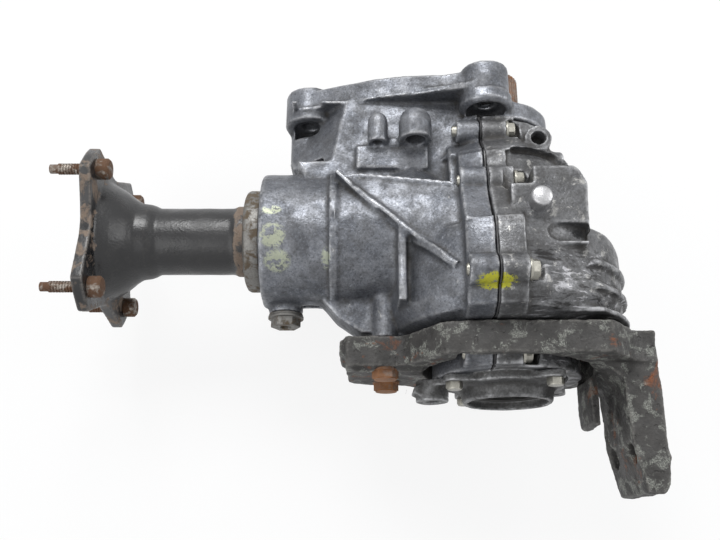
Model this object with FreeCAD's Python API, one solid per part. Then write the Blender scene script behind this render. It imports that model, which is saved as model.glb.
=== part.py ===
import FreeCAD, Part
import math, os

V = FreeCAD.Vector

# A front differential. It is modelled about the crossing point of its two gear lines:
# the pinion line is X (input flange at -X), the axle line is Y (vehicle left is +Y), up is +Z.
# Every solid is then moved so that the origin lies on the axle line at the mouth of the right hub.
# All sizes are in millimetres.

# Gear lines
RING_TEETH, PINION_TEETH = 37, 11
RING_PITCH_R = 75.0
RING_FACE = 24.0
SPIRAL_DEG = 32.0
SIDE_TEETH, SPIDER_TEETH = 16, 10
SIDE_MODULE = 3.2
SIDE_FACE = 10.0
PRESSURE_DEG = 20.0
BACKLASH = 0.35
SIDE_BACKLASH = 0.30
BLANK_PAST = 0.3

# Clearances
FIT = 0.02
RUNNING = 0.05
SEAT = 0.30

# Case casting
WALL = 5.5
SPLIT_X = -17.0
GASKET_T = 0.8
RIM_W = 7.0
RIM_T = 19.0
BULGE_R = 84.0
BULGE_END_Y = -77.0
BULGE_START_Y = -14.5
CARRIER_ROOM_R = 56.0
LEFT_WALL_Y = 52.0
HUB_R = 52.0
RIGHT_HUB_Y = -106.0
LEFT_HUB_Y = 96.0
COVER_END_Y = 81.0
LEFT_HUB_R = 42.0
NOSE_R = 50.0
NOSE_X = -174.5
NOSE_STEP_X = -121.0
BARREL_R = 51.5
NECK_R = 58.0
NECK_X = -66.0
COVER_BOLT_R = 4.0
COVER_BOLT_BOSS_R = 10.0
COVER_BOLT_AF = 12.0
COVER_BOLTS = [(22.0, 60.0), (-52.0, 88.0), (22.0, -60.0), (-52.0, -88.0)]
HUB_BOLT_BOSS_R = 8.0
HUB_BOLTS = [(-96.4, 49.5), (-96.4, -49.5), (70.0, 42.4), (70.0, -42.4)]

# Wing and engine mount flange
WING_X0, WING_X1 = -155.0, -17.0
WING_Y0 = 22.0
WING_TOP, WING_BOTTOM = 35.0, -36.0
FLANGE_Y0, FLANGE_Y1 = 98.6, 116.0
FLANGE_FACE_Y = 119.5
MOUNT_BOSS_R = 18.0
MOUNT_BOLT_R = 6.5
MOUNT_SPOT_R = 9.5
MOUNT_SPOT_Y = 100.0
MOUNT_HOLES = [(-142.0, 3.6), (-11.0, 41.7), (-11.0, -46.0), (-118.0, -46.0)]
RAIL_W = 13.0
PAD_Y = 84.0
PADS = [((-78.0, 44.0), 8.5, 3.4, 97.0), ((-52.0, 46.0), 12.0, 7.9, 94.6)]

# Input flange and pinion line
STUD_PCD = 120.2
STUD_R = 4.0
STUD_FIRST_DEG = 51.7
STUD_TIP_X = -323.0
STUD_HEAD_R = 7.5
STUD_KNURL_R = 4.6
FLANGE_OUT_X = -297.5
FLANGE_IN_X = -289.3
FLANGE_TUBE_R = 25.0
FLANGE_BORE_R = 19.5
SEAL_JOURNAL_R = 21.0
DUST_SHIELD_R = 38.0
SPLINE_R = 14.0
SPLINE_N = 24
HEAD_BEARING = (17.5, 36.0, 18.0)
TAIL_BEARING = (15.0, 32.0, 17.0)
HEAD_BEARING_X = -80.0
TAIL_BEARING_X = -145.0
PINION_SEAL_R = 33.0
PINION_SEAL_W = 9.0
NUT_X = -213.0
NUT_H = 13.0
TAIL_X = TAIL_BEARING_X - TAIL_BEARING[2]

# Differential case and side bearings
SIDE_BEARING = (22.5, 38.0, 19.0)
RIGHT_BEARING_Y = -54.0
LEFT_BEARING_Y = 42.0
SIDE_GAP_Y = LEFT_BEARING_Y + SIDE_BEARING[2] + 4
RING_BACK_Y = -42.0
RING_SEAT_Y = -34.0
RING_BORE_R = 48.0
CASE_FLANGE_T = 10.0
CASE_FLANGE_R = 70.0
CASE_BODY_R = 45.0
CASE_ROOM_R = 34.2
RING_BOLT_PCD = 120.0
RING_BOLT_N = 10
CROSS_PIN_R = 8.0
WASHER_T = 1.0
SIDE_HUB_R = 16.5
CLIP_Y = 11.9

# Output side
RETAINER_R = 42.0
RETAINER_NOSE_R = 31.5
OUTPUT_BORE_R = 28.0
HUB_FACE_Y = -121.5
RETAINER_FLANGE_T = 5.0
RETAINER_BOLT_R = 3.0
RETAINER_BOLTS_R = 47.0
RETAINER_BOLTS_DEG = [-32.0, 58.0, 148.0, 238.0]
RETAINER_BOSS = (-53.0, 2.0)
OUTPUT_SPLINE_R = 22.0
OUTPUT_SPLINE_N = 43
OUTPUT_SHAFT_R = 18.0
OUTPUT_END_Y = 136.0
OUTPUT_SEAL_R = 30.0

# Bracket
BRACKET_Y0, BRACKET_Y1 = -100.0, -78.0
BRACKET_BOLT_R = 5.0
BRACKET_BOLTS = [(-86.0, 12.0), (-84.0, -34.0)]
BRACKET_HOLE_R = 58.5
BRACKET_TOP = 67.0
ARM_X0, ARM_X1 = 66.0, 96.0
ARM_END_Y = -185.0
ARM_BOLT_R = 6.5
ARM_BOLTS = [(-158.0, 27.0), (-158.0, -12.0)]

# Breather and plugs
BREATHER_AT = (21.0, 0.5)
PLATFORM_TOP = 62.0
BREATHER_R = 9.2
BREATHER_CAP_R = 7.2
BREATHER_TOP = 87.0
PLUG_R = 9.0
FILLER_AT = (-141.0, -8.0)
FILLER_FACE_Y = -66.0
DRAIN_AT = (-40.0, -58.0)

AXES = {"X": V(1, 0, 0), "Y": V(0, 1, 0), "Z": V(0, 0, 1)}


def point(axis, along, u, v):
    """A point at a distance along an axis, with its two other coordinates in order."""
    return {"X": V(along, u, v), "Y": V(u, along, v), "Z": V(u, v, along)}[axis]


def rod(axis, r, start, end, at=(0, 0)):
    low, high = min(start, end), max(start, end)
    return Part.makeCylinder(r, high - low, point(axis, low, *at), AXES[axis])


def tube(axis, outer, inner, start, end, at=(0, 0)):
    return rod(axis, outer, start, end, at).cut(rod(axis, inner, start, end, at))


def cone(axis, r_start, r_end, start, end, at=(0, 0)):
    way = AXES[axis] if end > start else AXES[axis].negative()
    return Part.makeCone(r_start, r_end, abs(end - start), point(axis, start, *at), way)


def fused(shapes):
    return shapes[0].multiFuse(shapes[1:]) if len(shapes) > 1 else shapes[0]


def block(x, y, z):
    low = V(min(x), min(y), min(z))
    return Part.makeBox(abs(x[1] - x[0]), abs(y[1] - y[0]), abs(z[1] - z[0]), low)


def turned(axis, profile, at=(0, 0)):
    """A solid of revolution from (along, radius) corners about a line parallel to an axis."""
    across = {"X": V(0, 1, 0), "Y": V(0, 0, 1), "Z": V(1, 0, 0)}[axis]
    base = point(axis, 0, *at)
    corners = [base + AXES[axis] * a + across * r for a, r in profile]
    face = Part.Face(Part.makePolygon(corners + corners[:1]))
    return face.revolve(base, AXES[axis], 360)


def rounded_wire(axis, along, corners):
    """A closed outline from (u, v, corner radius), with arcs at the rounded corners."""
    points = [(V(u, v, 0), r) for u, v, r in corners]
    edges, previous, first = [], None, None
    for i, (p, r) in enumerate(points):
        before = (points[i - 1][0] - p).normalize()
        after = (points[(i + 1) % len(points)][0] - p).normalize()
        half = before.getAngle(after) / 2
        if r > 0 and 0.01 < half < math.pi / 2 - 0.01:
            back = r / math.tan(half)
            middle = (before + after).normalize()
            centre = p + middle * (r / math.sin(half))
            ends = [p + before * back, centre - middle * r, p + after * back]
        else:
            ends = [p]
        ends = [point(axis, along, q.x, q.y) for q in ends]
        if previous is not None and previous.distanceToPoint(ends[0]) > 1e-6:
            edges.append(Part.makeLine(previous, ends[0]))
        first = first or ends[0]
        if len(ends) == 3:
            edges.append(Part.Arc(*ends).toShape())
        previous = ends[-1]
    if previous.distanceToPoint(first) > 1e-6:
        edges.append(Part.makeLine(previous, first))
    return Part.Wire(edges)


def plate(axis, corners, start, end):
    """A flat plate with rounded corners, between two places along an axis."""
    face = Part.Face(rounded_wire(axis, start, corners))
    return face.extrude(AXES[axis] * (end - start))


def link(axis, a, b, r_a, r_b, start, end):
    """A web between two round ends, as wide as each end."""
    gap = math.hypot(b[0] - a[0], b[1] - a[1])
    turn = math.atan2(b[1] - a[1], b[0] - a[0])
    lean = math.acos((r_a - r_b) / gap)
    corners = []
    for centre, r, way in ((a, r_a, lean), (b, r_b, lean), (b, r_b, -lean), (a, r_a, -lean)):
        corners.append((centre[0] + r * math.cos(turn + way), centre[1] + r * math.sin(turn + way), 0))
    web = plate(axis, corners, start, end)
    return web.multiFuse([rod(axis, r_a, start, end, a), rod(axis, r_b, start, end, b)])


def hexagon(axis, across_flats, start, end, at=(0, 0)):
    r = across_flats / math.sqrt(3)
    corners = [(at[0] + r * math.cos(math.radians(60 * k)), at[1] + r * math.sin(math.radians(60 * k)), 0)
               for k in range(6)]
    return plate(axis, corners, start, end)


def hex_bolt(axis, r, across_flats, seat, head_way, length, at, flange_r=0.0):
    """A bolt whose head stands on its seat to one side and whose shank goes to the other."""
    head_h = 1.4 * r
    parts = [hexagon(axis, across_flats, seat, seat + head_way * (head_h + 0.8), at)]
    parts.append(rod(axis, max(flange_r, across_flats * 0.48), seat, seat + head_way * 1.8, at))
    parts.append(rod(axis, r - 0.8, seat - head_way * (length - 0.5), seat - head_way * length, at))
    parts.append(rod(axis, r, seat, seat - head_way * (length - 0.5), at))
    dome = rod(axis, across_flats * 0.5, seat, seat + head_way * (head_h + 0.8), at)
    parts[0] = parts[0].common(dome.fuse(hexagon(axis, across_flats, seat, seat + head_way * head_h, at)))
    return parts[0].multiFuse(parts[1:]).removeSplitter()


def splined(axis, tip_r, root_r, count, start, end, slack=0.0):
    """A toothed shaft, or with a slack the hole that it slides in."""
    step = 2 * math.pi / count
    corners = []
    for k in range(count):
        for share, r in ((-0.36, root_r), (-0.16, tip_r), (0.16, tip_r), (0.36, root_r)):
            corners.append(((r + slack) * math.cos(step * (k + share)),
                            (r + slack) * math.sin(step * (k + share)), 0))
    return plate(axis, corners, start, end)


def bevel_gear(away, toward, teeth, mate, pitch_r, face, shift, blank, spiral_deg=0.0, gap_first=False,
               backlash=0.3, sections=2):
    """A bevel gear with its apex at the crossing point, on a turned blank.

    Each tooth is an involute on the back cone, scaled to the apex. A spiral tooth also turns as it
    gets smaller. away points from the apex to the gear, and toward is the first tooth's side.
    """
    cone_angle = math.atan2(teeth, mate)
    sin_c, cos_c = math.sin(cone_angle), math.cos(cone_angle)
    module = 2 * pitch_r / teeth
    distance = pitch_r / sin_c
    small = (distance - face) / distance
    virtual_r = pitch_r / cos_c
    pressure = math.radians(PRESSURE_DEG)
    base_r = virtual_r * math.cos(pressure)
    add, ded = (1.0 + shift) * module, (1.25 - shift) * module
    thick = module * (math.pi / 2 + 2 * shift * math.tan(pressure)) - backlash / 2
    lead = math.tan(pressure) - pressure
    flank = []
    for share in (0.0, 0.35, 0.7, 1.0):
        rho = virtual_r - ded + share * (add + ded)
        angle = math.acos(min(1.0, base_r / rho))
        turn = thick / 2 / virtual_r + lead - (math.tan(angle) - angle)
        flank.append((rho * math.sin(turn), rho * math.cos(turn) - virtual_r))
    flank.insert(0, (flank[0][0] * 1.06, -ded - 0.25 * module))
    outline = [(-t, h) for t, h in flank] + [(t, h) for t, h in reversed(flank)]
    across = away.cross(toward)
    solids = [blank]
    for k in range(teeth):
        wires = []
        for i in range(sections):
            scale = 1 - (1 - small) * i / (sections - 1)
            turn = 2 * math.pi * (k + (0.5 if gap_first else 0.0)) / teeth
            turn += math.tan(math.radians(spiral_deg)) / sin_c * math.log(scale)
            out = toward * math.cos(turn) + across * math.sin(turn)
            side = across * math.cos(turn) - toward * math.sin(turn)
            corners = []
            for t, h in outline:
                middle = away * (distance * cos_c - h * sin_c) + out * (pitch_r + h * cos_c)
                corners.append((middle + side * t) * scale)
            wires.append(Part.makePolygon(corners + corners[:1]))
        solids.append(Part.makeLoft(wires, True, True))
    return solids[0].multiFuse(solids[1:])


def tapered_bearing(axis, sizes, start, way, at=(0, 0), rollers=14):
    """The cup, and the cone with its rollers, of a tapered roller bearing.

    start is the place of the cone's back face, and way points to the cup's back face.
    """
    bore, outer, width = sizes
    depth = outer - bore
    cup = turned(axis, [(start + way * 0.22 * width, outer), (start + way * width, outer),
                        (start + way * width, bore + 0.62 * depth),
                        (start + way * 0.22 * width, bore + 0.80 * depth)], at)
    track = [(0.0, 0.0), (0.0, 0.48), (0.12, 0.48), (0.13, 0.36), (0.84, 0.22), (0.85, 0.30), (0.92, 0.30),
             (0.92, 0.0)]
    race = turned(axis, [(start + way * along * width, bore + up * depth) for along, up in track], at)
    pieces = [race]
    base = point(axis, 0, *at)
    u, v = (AXES[a] for a in "XYZ" if a != axis)
    for k in range(rollers):
        out = u * math.cos(2 * math.pi * k / rollers) + v * math.sin(2 * math.pi * k / rollers)
        side = AXES[axis].cross(out)
        ends = []
        for share, middle, r in ((0.20, 0.575, 0.185), (0.80, 0.445, 0.165)):
            centre = base + AXES[axis] * (start + way * share * width) + out * (bore + middle * depth)
            ring = [centre + (out * math.cos(math.pi * j / 4) + side * math.sin(math.pi * j / 4)) * r * depth
                    for j in range(8)]
            ends.append(Part.makePolygon(ring + ring[:1]))
        pieces.append(Part.makeLoft(ends, True, True))
    return cup, Part.makeCompound([race.cut(Part.makeCompound(pieces[1:]))] + pieces[1:])


def seal(axis, outer, inner, start, end, at=(0, 0)):
    """A shaft seal: a steel-backed ring with a lip that reaches in to the shaft."""
    width = end - start
    section = [(start, outer), (end, outer), (end, inner + 3.5), (start + 0.75 * width, inner + 3.0),
               (start + 0.62 * width, inner), (start + 0.45 * width, inner),
               (start + 0.22 * width, inner + 2.2), (start, inner + 2.2)]
    return turned(axis, section, at)


# Case

def chamber_profile(grow):
    """The (along Y, radius) corners of the room for the ring gear and its carrier."""
    return [(BULGE_END_Y, 0), (BULGE_END_Y, BULGE_R - 18 + grow), (BULGE_END_Y + 5, BULGE_R - 6 + grow),
            (BULGE_END_Y + 14, BULGE_R - 1 + grow), (BULGE_END_Y + 20, BULGE_R + grow),
            (BULGE_START_Y - 8, BULGE_R + grow), (BULGE_START_Y, BULGE_R - 2 + grow),
            (BULGE_START_Y + 3.5, CARRIER_ROOM_R + 11 + grow), (4, CARRIER_ROOM_R + 2 + grow),
            (LEFT_WALL_Y - 6, CARRIER_ROOM_R - 2 + grow), (LEFT_WALL_Y, 47 + grow), (LEFT_WALL_Y, 0)]


def in_front_of_split(shape, gap=0.0):
    return shape.common(block((SPLIT_X + gap, 200), (-300, COVER_END_Y), (-200, 200)))


def behind_split(shape):
    return shape.common(block((-400, SPLIT_X), (-300, 300), (-200, 200)))


def case_shell():
    """The outer form that the main case and the front cover share, before they are parted."""
    shell = turned("Y", chamber_profile(0))
    hubs = [rod("Y", HUB_R, RIGHT_HUB_Y, BULGE_END_Y + 3),
            rod("Y", LEFT_HUB_R, LEFT_WALL_Y - 4, LEFT_HUB_Y)]
    hubs.append(cone("Y", HUB_R + 6, LEFT_HUB_R, LEFT_WALL_Y - 2, LEFT_WALL_Y + 16))
    slab = block((SPLIT_X - RIM_T, SPLIT_X + RIM_T), (-200, LEFT_HUB_Y), (-200, 200))
    rim = turned("Y", chamber_profile(RIM_W)).common(slab)
    hub_rims = rod("Y", HUB_R + RIM_W - 2, RIGHT_HUB_Y + 1, BULGE_END_Y + 3)
    hub_rims = hub_rims.fuse(rod("Y", LEFT_HUB_R + RIM_W - 2, LEFT_WALL_Y - 4,
                                 LEFT_HUB_Y - 12)).common(slab)
    bosses = [rod("X", COVER_BOLT_BOSS_R, SPLIT_X - RIM_T, SPLIT_X + RIM_T, at) for at in COVER_BOLTS]
    bosses += [rod("X", HUB_BOLT_BOSS_R, SPLIT_X - RIM_T, SPLIT_X + RIM_T, at) for at in HUB_BOLTS]
    return shell.multiFuse(hubs + [rim, hub_rims] + bosses)


def case_rooms():
    """Everything hollow inside: the gear room, the two hub bores and the pinion's bores."""
    inner = [(BULGE_END_Y + WALL + 1, 0), (BULGE_END_Y + WALL + 1, BULGE_R - 22),
             (BULGE_END_Y + 16, BULGE_R - WALL - 1),
             (BULGE_END_Y + 20, BULGE_R - WALL), (BULGE_START_Y - 2.5, BULGE_R - WALL),
             (BULGE_START_Y - 1, CARRIER_ROOM_R + 6), (2, CARRIER_ROOM_R - WALL + 2),
             (LEFT_BEARING_Y - 8, CARRIER_ROOM_R - WALL - 2), (LEFT_BEARING_Y - 2, 44),
             (LEFT_BEARING_Y - 2, 0)]
    bore, outer, width = SIDE_BEARING
    rooms = turned("Y", inner)
    left = [rod("Y", outer + FIT, LEFT_BEARING_Y - 4, LEFT_BEARING_Y + width + WASHER_T + 2 * FIT),
            rod("Y", bore + 4, LEFT_BEARING_Y, 85), rod("Y", OUTPUT_SEAL_R + FIT, 84, LEFT_HUB_Y + 1)]
    right = [rod("Y", RETAINER_R + FIT, RIGHT_HUB_Y - 1, BULGE_END_Y + WALL + 4)]
    head, tail = HEAD_BEARING, TAIL_BEARING
    head_end, tail_end = HEAD_BEARING_X - head[2], TAIL_BEARING_X - tail[2]
    nose = [rod("X", 31, -40, HEAD_BEARING_X + 2),
            rod("X", head[1] + FIT, HEAD_BEARING_X + 4, head_end - WASHER_T / 2),
            rod("X", 27.5, head_end + 2, TAIL_BEARING_X - 1),
            rod("X", tail[1] + FIT, TAIL_BEARING_X, NOSE_X - 1),
            rod("X", PINION_SEAL_R + FIT, tail_end - 0.5, NOSE_X - 1)]
    return rooms.multiFuse(left + right + nose)


def wing():
    """The upper wing with the flange that bolts to the engine."""
    outline = [(WING_X0 + 18, WING_Y0, 10), (WING_X0, 62, 14), (WING_X0, FLANGE_Y0 + 2, 0),
               (WING_X1 + 24, FLANGE_Y0 + 2, 0), (WING_X1 + 10, 52, 12), (WING_X1 - 12, WING_Y0, 8)]
    body = plate("Z", outline, WING_BOTTOM, WING_TOP)
    room = [(WING_X0 + 26, WING_Y0 + 10, 8), (WING_X0 + 8, 62, 10), (WING_X0 + 8, FLANGE_Y0 - 10, 5),
            (-52, FLANGE_Y0 - 10, 5), (-62, WING_Y0 + 10, 8)]
    pocket = plate("Z", room, WING_BOTTOM - 1, WING_TOP - 7)
    body = body.cut(pocket)
    ribs = [block((x - 2.5, x + 2.5), (WING_Y0, FLANGE_Y0), (WING_BOTTOM + 6, WING_TOP - 3))
            for x in (-122, -88)]
    left, right, low_right, low_left = MOUNT_HOLES
    rails = [link("Y", left, right, RAIL_W, RAIL_W, FLANGE_Y0, FLANGE_Y1),
             link("Y", left, low_left, RAIL_W, RAIL_W, FLANGE_Y0, FLANGE_Y1),
             link("Y", low_left, low_right, RAIL_W, RAIL_W, FLANGE_Y0, FLANGE_Y1)]
    rails.append(link("Y", left, right, RAIL_W + 5, RAIL_W + 5, FLANGE_Y0, FLANGE_Y0 + 5).common(
        block((-160, -20), (0, 200), (-60, 200))))
    columns = [rod("Y", MOUNT_BOSS_R - 2, 62, FLANGE_Y0 + 1, left),
               rod("Y", MOUNT_BOSS_R - 2, 70, FLANGE_Y0 + 1, low_left),
               rod("Y", MOUNT_BOSS_R - 2, COVER_END_Y + GASKET_T, FLANGE_Y0 + 1, low_right),
               rod("Y", MOUNT_BOSS_R - 2, 88, FLANGE_Y0 + 1, right)]
    bosses = [rod("Y", MOUNT_BOSS_R, FLANGE_Y0 - 1.6, FLANGE_FACE_Y, at) for at in MOUNT_HOLES]
    hub_web = rod("Y", LEFT_HUB_R, COVER_END_Y + GASKET_T, LEFT_HUB_Y)
    return body.multiFuse(ribs + rails + columns + bosses + [hub_web])


def main_case():
    """The casting that holds the pinion, half of each hub and the engine mount flange."""
    nose = [rod("X", NOSE_R, NOSE_X + 1.5, NOSE_STEP_X),
            cone("X", NOSE_R, NOSE_R - 1.5, NOSE_X + 1.5, NOSE_X),
            rod("X", BARREL_R, NOSE_STEP_X - 4, -60),
            rod("X", BARREL_R + 1.5, NOSE_STEP_X - 4, NOSE_STEP_X + 1)]
    nose += [cone("X", BARREL_R, NECK_R, -82, NECK_X), cone("X", NECK_R, 44, NECK_X, -34)]
    pads = [block((-102.5, -44.5), (PAD_Y, FLANGE_Y0), (20, WING_TOP + 9))]
    pads += [rod("Y", boss_r, PAD_Y, FLANGE_Y0, at) for at, boss_r, _, _ in PADS]
    belly_side = [(-44, -30, 12), (-30, -82, 14), (26, -74, 12), (44, -40, 12), (30, 0, 0), (-30, 0, 0)]
    belly = plate("X", belly_side, -92, SPLIT_X - 2)
    plug = [rod("Y", 14.5, FILLER_FACE_Y, -20, FILLER_AT),
            cone("Y", 13, 20, FILLER_FACE_Y + 4, -34, FILLER_AT),
            rod("Z", 13, DRAIN_AT[1] - 30, DRAIN_AT[1] + 10, (DRAIN_AT[0], 0))]
    lugs = [rod("Y", 8.6, BRACKET_Y1, -36, (-86, 12)), rod("Y", 12, BRACKET_Y1, -40, (-84, -34)),
            rod("Y", 11, BRACKET_Y1 + 2, -22, (-38, 44))]
    rib_plan = [(-122, 33, 0), (-119, 35, 0), (-40, -43, 0), (-43, -47, 0)]
    rib_room = turned("Y", chamber_profile(5)).fuse(block((-125, -70), (-20, 40), (0, 54)))
    ribs = [plate("Z", rib_plan, 20, 74).common(rib_room), block((-78, -72), (-62, 28), (20, 57)),
            block((-121, -84), (-3, 3), (44, 55)),
            plate("X", [(WING_Y0, 60, 0), (84, WING_TOP, 0), (84, 20, 0), (WING_Y0, 20, 0)], -40, -35),
            plate("X", [(WING_Y0, 50, 0), (60, WING_TOP, 0), (60, 20, 0), (WING_Y0, 20, 0)], -108, -103)]
    upper_web = [(-128, -20, 0), (-92, BRACKET_Y1 + 1.5, 6), (-60, BRACKET_Y1 + 1.5, 6), (-20, -60, 0),
                 (-40, -20, 0)]
    lower_web = [(-125, -BARREL_R + 6, 0), (-96, -72, 4), (-80, -72, 4), (-70, -30, 0)]
    webs = [plate("Z", upper_web, -14, 14), plate("Z", lower_web, -30, 4)]
    body = behind_split(case_shell()).multiFuse(nose + [wing()] + pads + [belly] + plug + lugs + ribs + webs)
    body = body.cut(case_rooms()).cut(block((SPLIT_X, 200), (-300, COVER_END_Y + GASKET_T), (-200, 200)))
    holes = [rod("Y", MOUNT_BOLT_R, FLANGE_Y0 - 16, FLANGE_FACE_Y + 1, at) for at in MOUNT_HOLES]
    holes += [rod("Y", MOUNT_SPOT_R, MOUNT_SPOT_Y - 16, MOUNT_SPOT_Y, at)
              for at in MOUNT_HOLES[:1] + MOUNT_HOLES[3:]]
    holes += [rod("Y", MOUNT_SPOT_R, MOUNT_SPOT_Y - 4, MOUNT_SPOT_Y, at) for at in MOUNT_HOLES[1:3]]
    left, low_left = MOUNT_HOLES[0], MOUNT_HOLES[3]
    holes.append(block((left[0] - MOUNT_SPOT_R, left[0] + MOUNT_SPOT_R), (MOUNT_SPOT_Y - 16, MOUNT_SPOT_Y),
                       (left[1], 60)))
    holes.append(block((low_left[0] - MOUNT_SPOT_R, low_left[0] + MOUNT_SPOT_R),
                       (MOUNT_SPOT_Y - 16, MOUNT_SPOT_Y), (-90, low_left[1])))
    holes += [rod("Y", RETAINER_BOLT_R + FIT, RIGHT_HUB_Y - 1, RIGHT_HUB_Y + 14, at)
              for at in retainer_bolt_places()]
    holes += [rod("X", COVER_BOLT_R + FIT, SPLIT_X - 24, SPLIT_X + 1, at) for at in COVER_BOLTS + HUB_BOLTS]
    holes += [rod("Y", BRACKET_BOLT_R + FIT, BRACKET_Y1 - 1, BRACKET_Y1 + 22, at)
              for at in BRACKET_BOLTS[:2]]
    holes += [rod("Y", PLUG_R + FIT, FILLER_FACE_Y - 1, -30, FILLER_AT),
              rod("Z", PLUG_R + FIT, DRAIN_AT[1] - 31, DRAIN_AT[1] + 20, (DRAIN_AT[0], 0))]
    holes += [rod("Y", hole_r, PAD_Y - 4, end, at) for at, _, hole_r, end in PADS]
    holes += [rod("Y", OUTPUT_SPLINE_R + 2, LEFT_HUB_Y - 1, FLANGE_FACE_Y + 1)]
    return body.cut(fused(holes))


def front_cover():
    """The cover over the ring gear, with the platform for the breather."""
    body = in_front_of_split(case_shell(), GASKET_T)
    u_x = 46.0
    outline = [(SPLIT_X + 14, 42, 4), (43, 44, 3), (58, 27, 6), (62, -3, 4), (60, -6, 3), (u_x - 8, -8, 4),
               (u_x - 14, -14, 4), (u_x - 8, -20, 4), (52, -21, 3), (62, -30, 8), (72, -60, 10),
               (SPLIT_X + 14, -60, 4)]
    platform = plate("Z", outline, 34, PLATFORM_TOP)
    keep = block((SPLIT_X + GASKET_T, 120), (-23, 60), (0, PLATFORM_TOP))
    platform = platform.common(keep)
    ribs = [turned("Y", [(y, 60), (y, BULGE_R + 3), (y + 4, BULGE_R + 3), (y + 4, 60)]).common(
        block((SPLIT_X + RIM_T, 120), (-100, 0), (-70, 70))) for y in (-74, -58, -42)]
    lug = plate("Z", [(-13, 44, 4), (-15, 86, 4), (8, 82, 6), (12, 56, 6)], 20, 47).common(
        block((SPLIT_X + GASKET_T, 60), (0, COVER_END_Y), (-60, 60)))
    bosses = [rod("Z", 10, 20, 52, (24, 60)), rod("Z", BREATHER_R + 3, 30, PLATFORM_TOP, BREATHER_AT),
              rod("X", 7, 20, 44, (50, 34))]
    body = body.multiFuse([platform, lug] + ribs + bosses)
    body = body.cut(case_rooms())
    holes = [rod("X", COVER_BOLT_R + FIT, SPLIT_X - 1, SPLIT_X + RIM_T + 12, at)
             for at in COVER_BOLTS + HUB_BOLTS]
    holes += [rod("X", COVER_BOLT_AF * 0.65, SPLIT_X + RIM_T, SPLIT_X + RIM_T + 11, at)
              for at in COVER_BOLTS + HUB_BOLTS]
    holes += [rod("Z", 5 + FIT, 20, PLATFORM_TOP + 1, BREATHER_AT), rod("Z", 5, 40, 60, (24, 60))]
    holes += [rod("Z", BREATHER_R + 1, PLATFORM_TOP, PLATFORM_TOP + 20, BREATHER_AT)]
    holes += [rod("Y", RETAINER_BOLT_R + FIT, RIGHT_HUB_Y - 1, RIGHT_HUB_Y + 14, at)
              for at in retainer_bolt_places()]
    return body.cut(fused(holes))


def cover_gasket():
    ring = case_shell().cut(case_rooms()).common(block((SPLIT_X, SPLIT_X + GASKET_T), (-300, COVER_END_Y),
                                                       (-200, 200)))
    return ring.cut(fused([rod("X", COVER_BOLT_R + RUNNING, SPLIT_X - 3, SPLIT_X + 3, at)
                           for at in COVER_BOLTS + HUB_BOLTS]))


def cover_bolts():
    return [hex_bolt("X", COVER_BOLT_R, COVER_BOLT_AF, SPLIT_X + RIM_T, 1, RIM_T + 20, at, 7.5)
            for at in COVER_BOLTS + HUB_BOLTS]

# Pinion line

def input_flange():
    """The long-necked companion flange, with four arms that carry studs."""
    profile = [(TAIL_X, SPLINE_R + 1.2), (TAIL_X, SEAL_JOURNAL_R), (-187, SEAL_JOURNAL_R), (-187, 26.5),
               (-194, 26.5),
               (-195, FLANGE_TUBE_R + 0.6), (-198, FLANGE_TUBE_R), (-252, FLANGE_TUBE_R), (-256, 27.0),
               (-259, 28.0),
               (-266, 28.9), (-271, 32.0), (-275, 35.4), (-280, 39.2), (-284, 41.5), (-289, 44.0),
               (FLANGE_OUT_X, 46.0),
               (FLANGE_OUT_X, 38.0), (-292, 37.0), (-284, 33.0), (-276, 27.5), (-268, 22.5),
               (-262, FLANGE_BORE_R),
               (NUT_X, FLANGE_BORE_R), (NUT_X, SPLINE_R + 1.2)]
    arms = []
    for k in range(4):
        turn = math.radians(STUD_FIRST_DEG + 90 * k)
        for r, lean, corner in ((74.5, -9.5, 11), (74.5, 9.5, 11), (47.5, 45, 26)):
            arms.append((r * math.cos(turn + math.radians(lean)), r * math.sin(turn + math.radians(lean)),
                         corner))
    face = plate("X", arms, FLANGE_OUT_X, FLANGE_IN_X).fuse(turned("X", profile))
    face = face.cut(turned("X", [(-299, 0), (-299, 38.4), (-292, 37.0), (-288, 35), (-288, 0)]))
    bore = rod("X", SPLINE_R + 2, TAIL_X + 1, NUT_X - 1).common(
        splined("X", SPLINE_R, SPLINE_R - 1.4, SPLINE_N, NUT_X - 1, TAIL_X + 1, RUNNING))
    collar = tube("X", SPLINE_R + 1.4, 1, NUT_X, TAIL_X).cut(bore)
    body = face.fuse(collar)
    return body.cut(Part.makeCompound([rod("X", STUD_KNURL_R + FIT, -299, -285, at)
                                       for at in stud_places()]))


def stud_places():
    """The (Y, Z) places of the four studs."""
    r = STUD_PCD / 2
    turns = [math.radians(STUD_FIRST_DEG + 90 * k) for k in range(4)]
    return [(r * math.cos(t), r * math.sin(t)) for t in turns]


def flange_stud(at):
    """A pressed-in stud: its head behind the flange, a thick neck in it, thread and a dog point in front."""
    head = [cone("X", STUD_HEAD_R, STUD_HEAD_R - 1.5, FLANGE_IN_X + 7.5, FLANGE_IN_X + 9.1, at),
            rod("X", STUD_HEAD_R, FLANGE_IN_X, FLANGE_IN_X + 7.5, at)]
    shank = [rod("X", STUD_KNURL_R, FLANGE_OUT_X, FLANGE_IN_X, at),
             rod("X", STUD_R, STUD_TIP_X + 6, FLANGE_OUT_X, at),
             rod("X", STUD_R - 0.7, STUD_TIP_X, STUD_TIP_X + 6, at)]
    grooves = [tube("X", STUD_R + 1, STUD_R - 0.5, x, x + 0.55, at)
               for x in range(int(STUD_TIP_X) + 8, -299, 2)]
    return head[0].multiFuse(head[1:] + shank).cut(Part.makeCompound(grooves))


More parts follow.
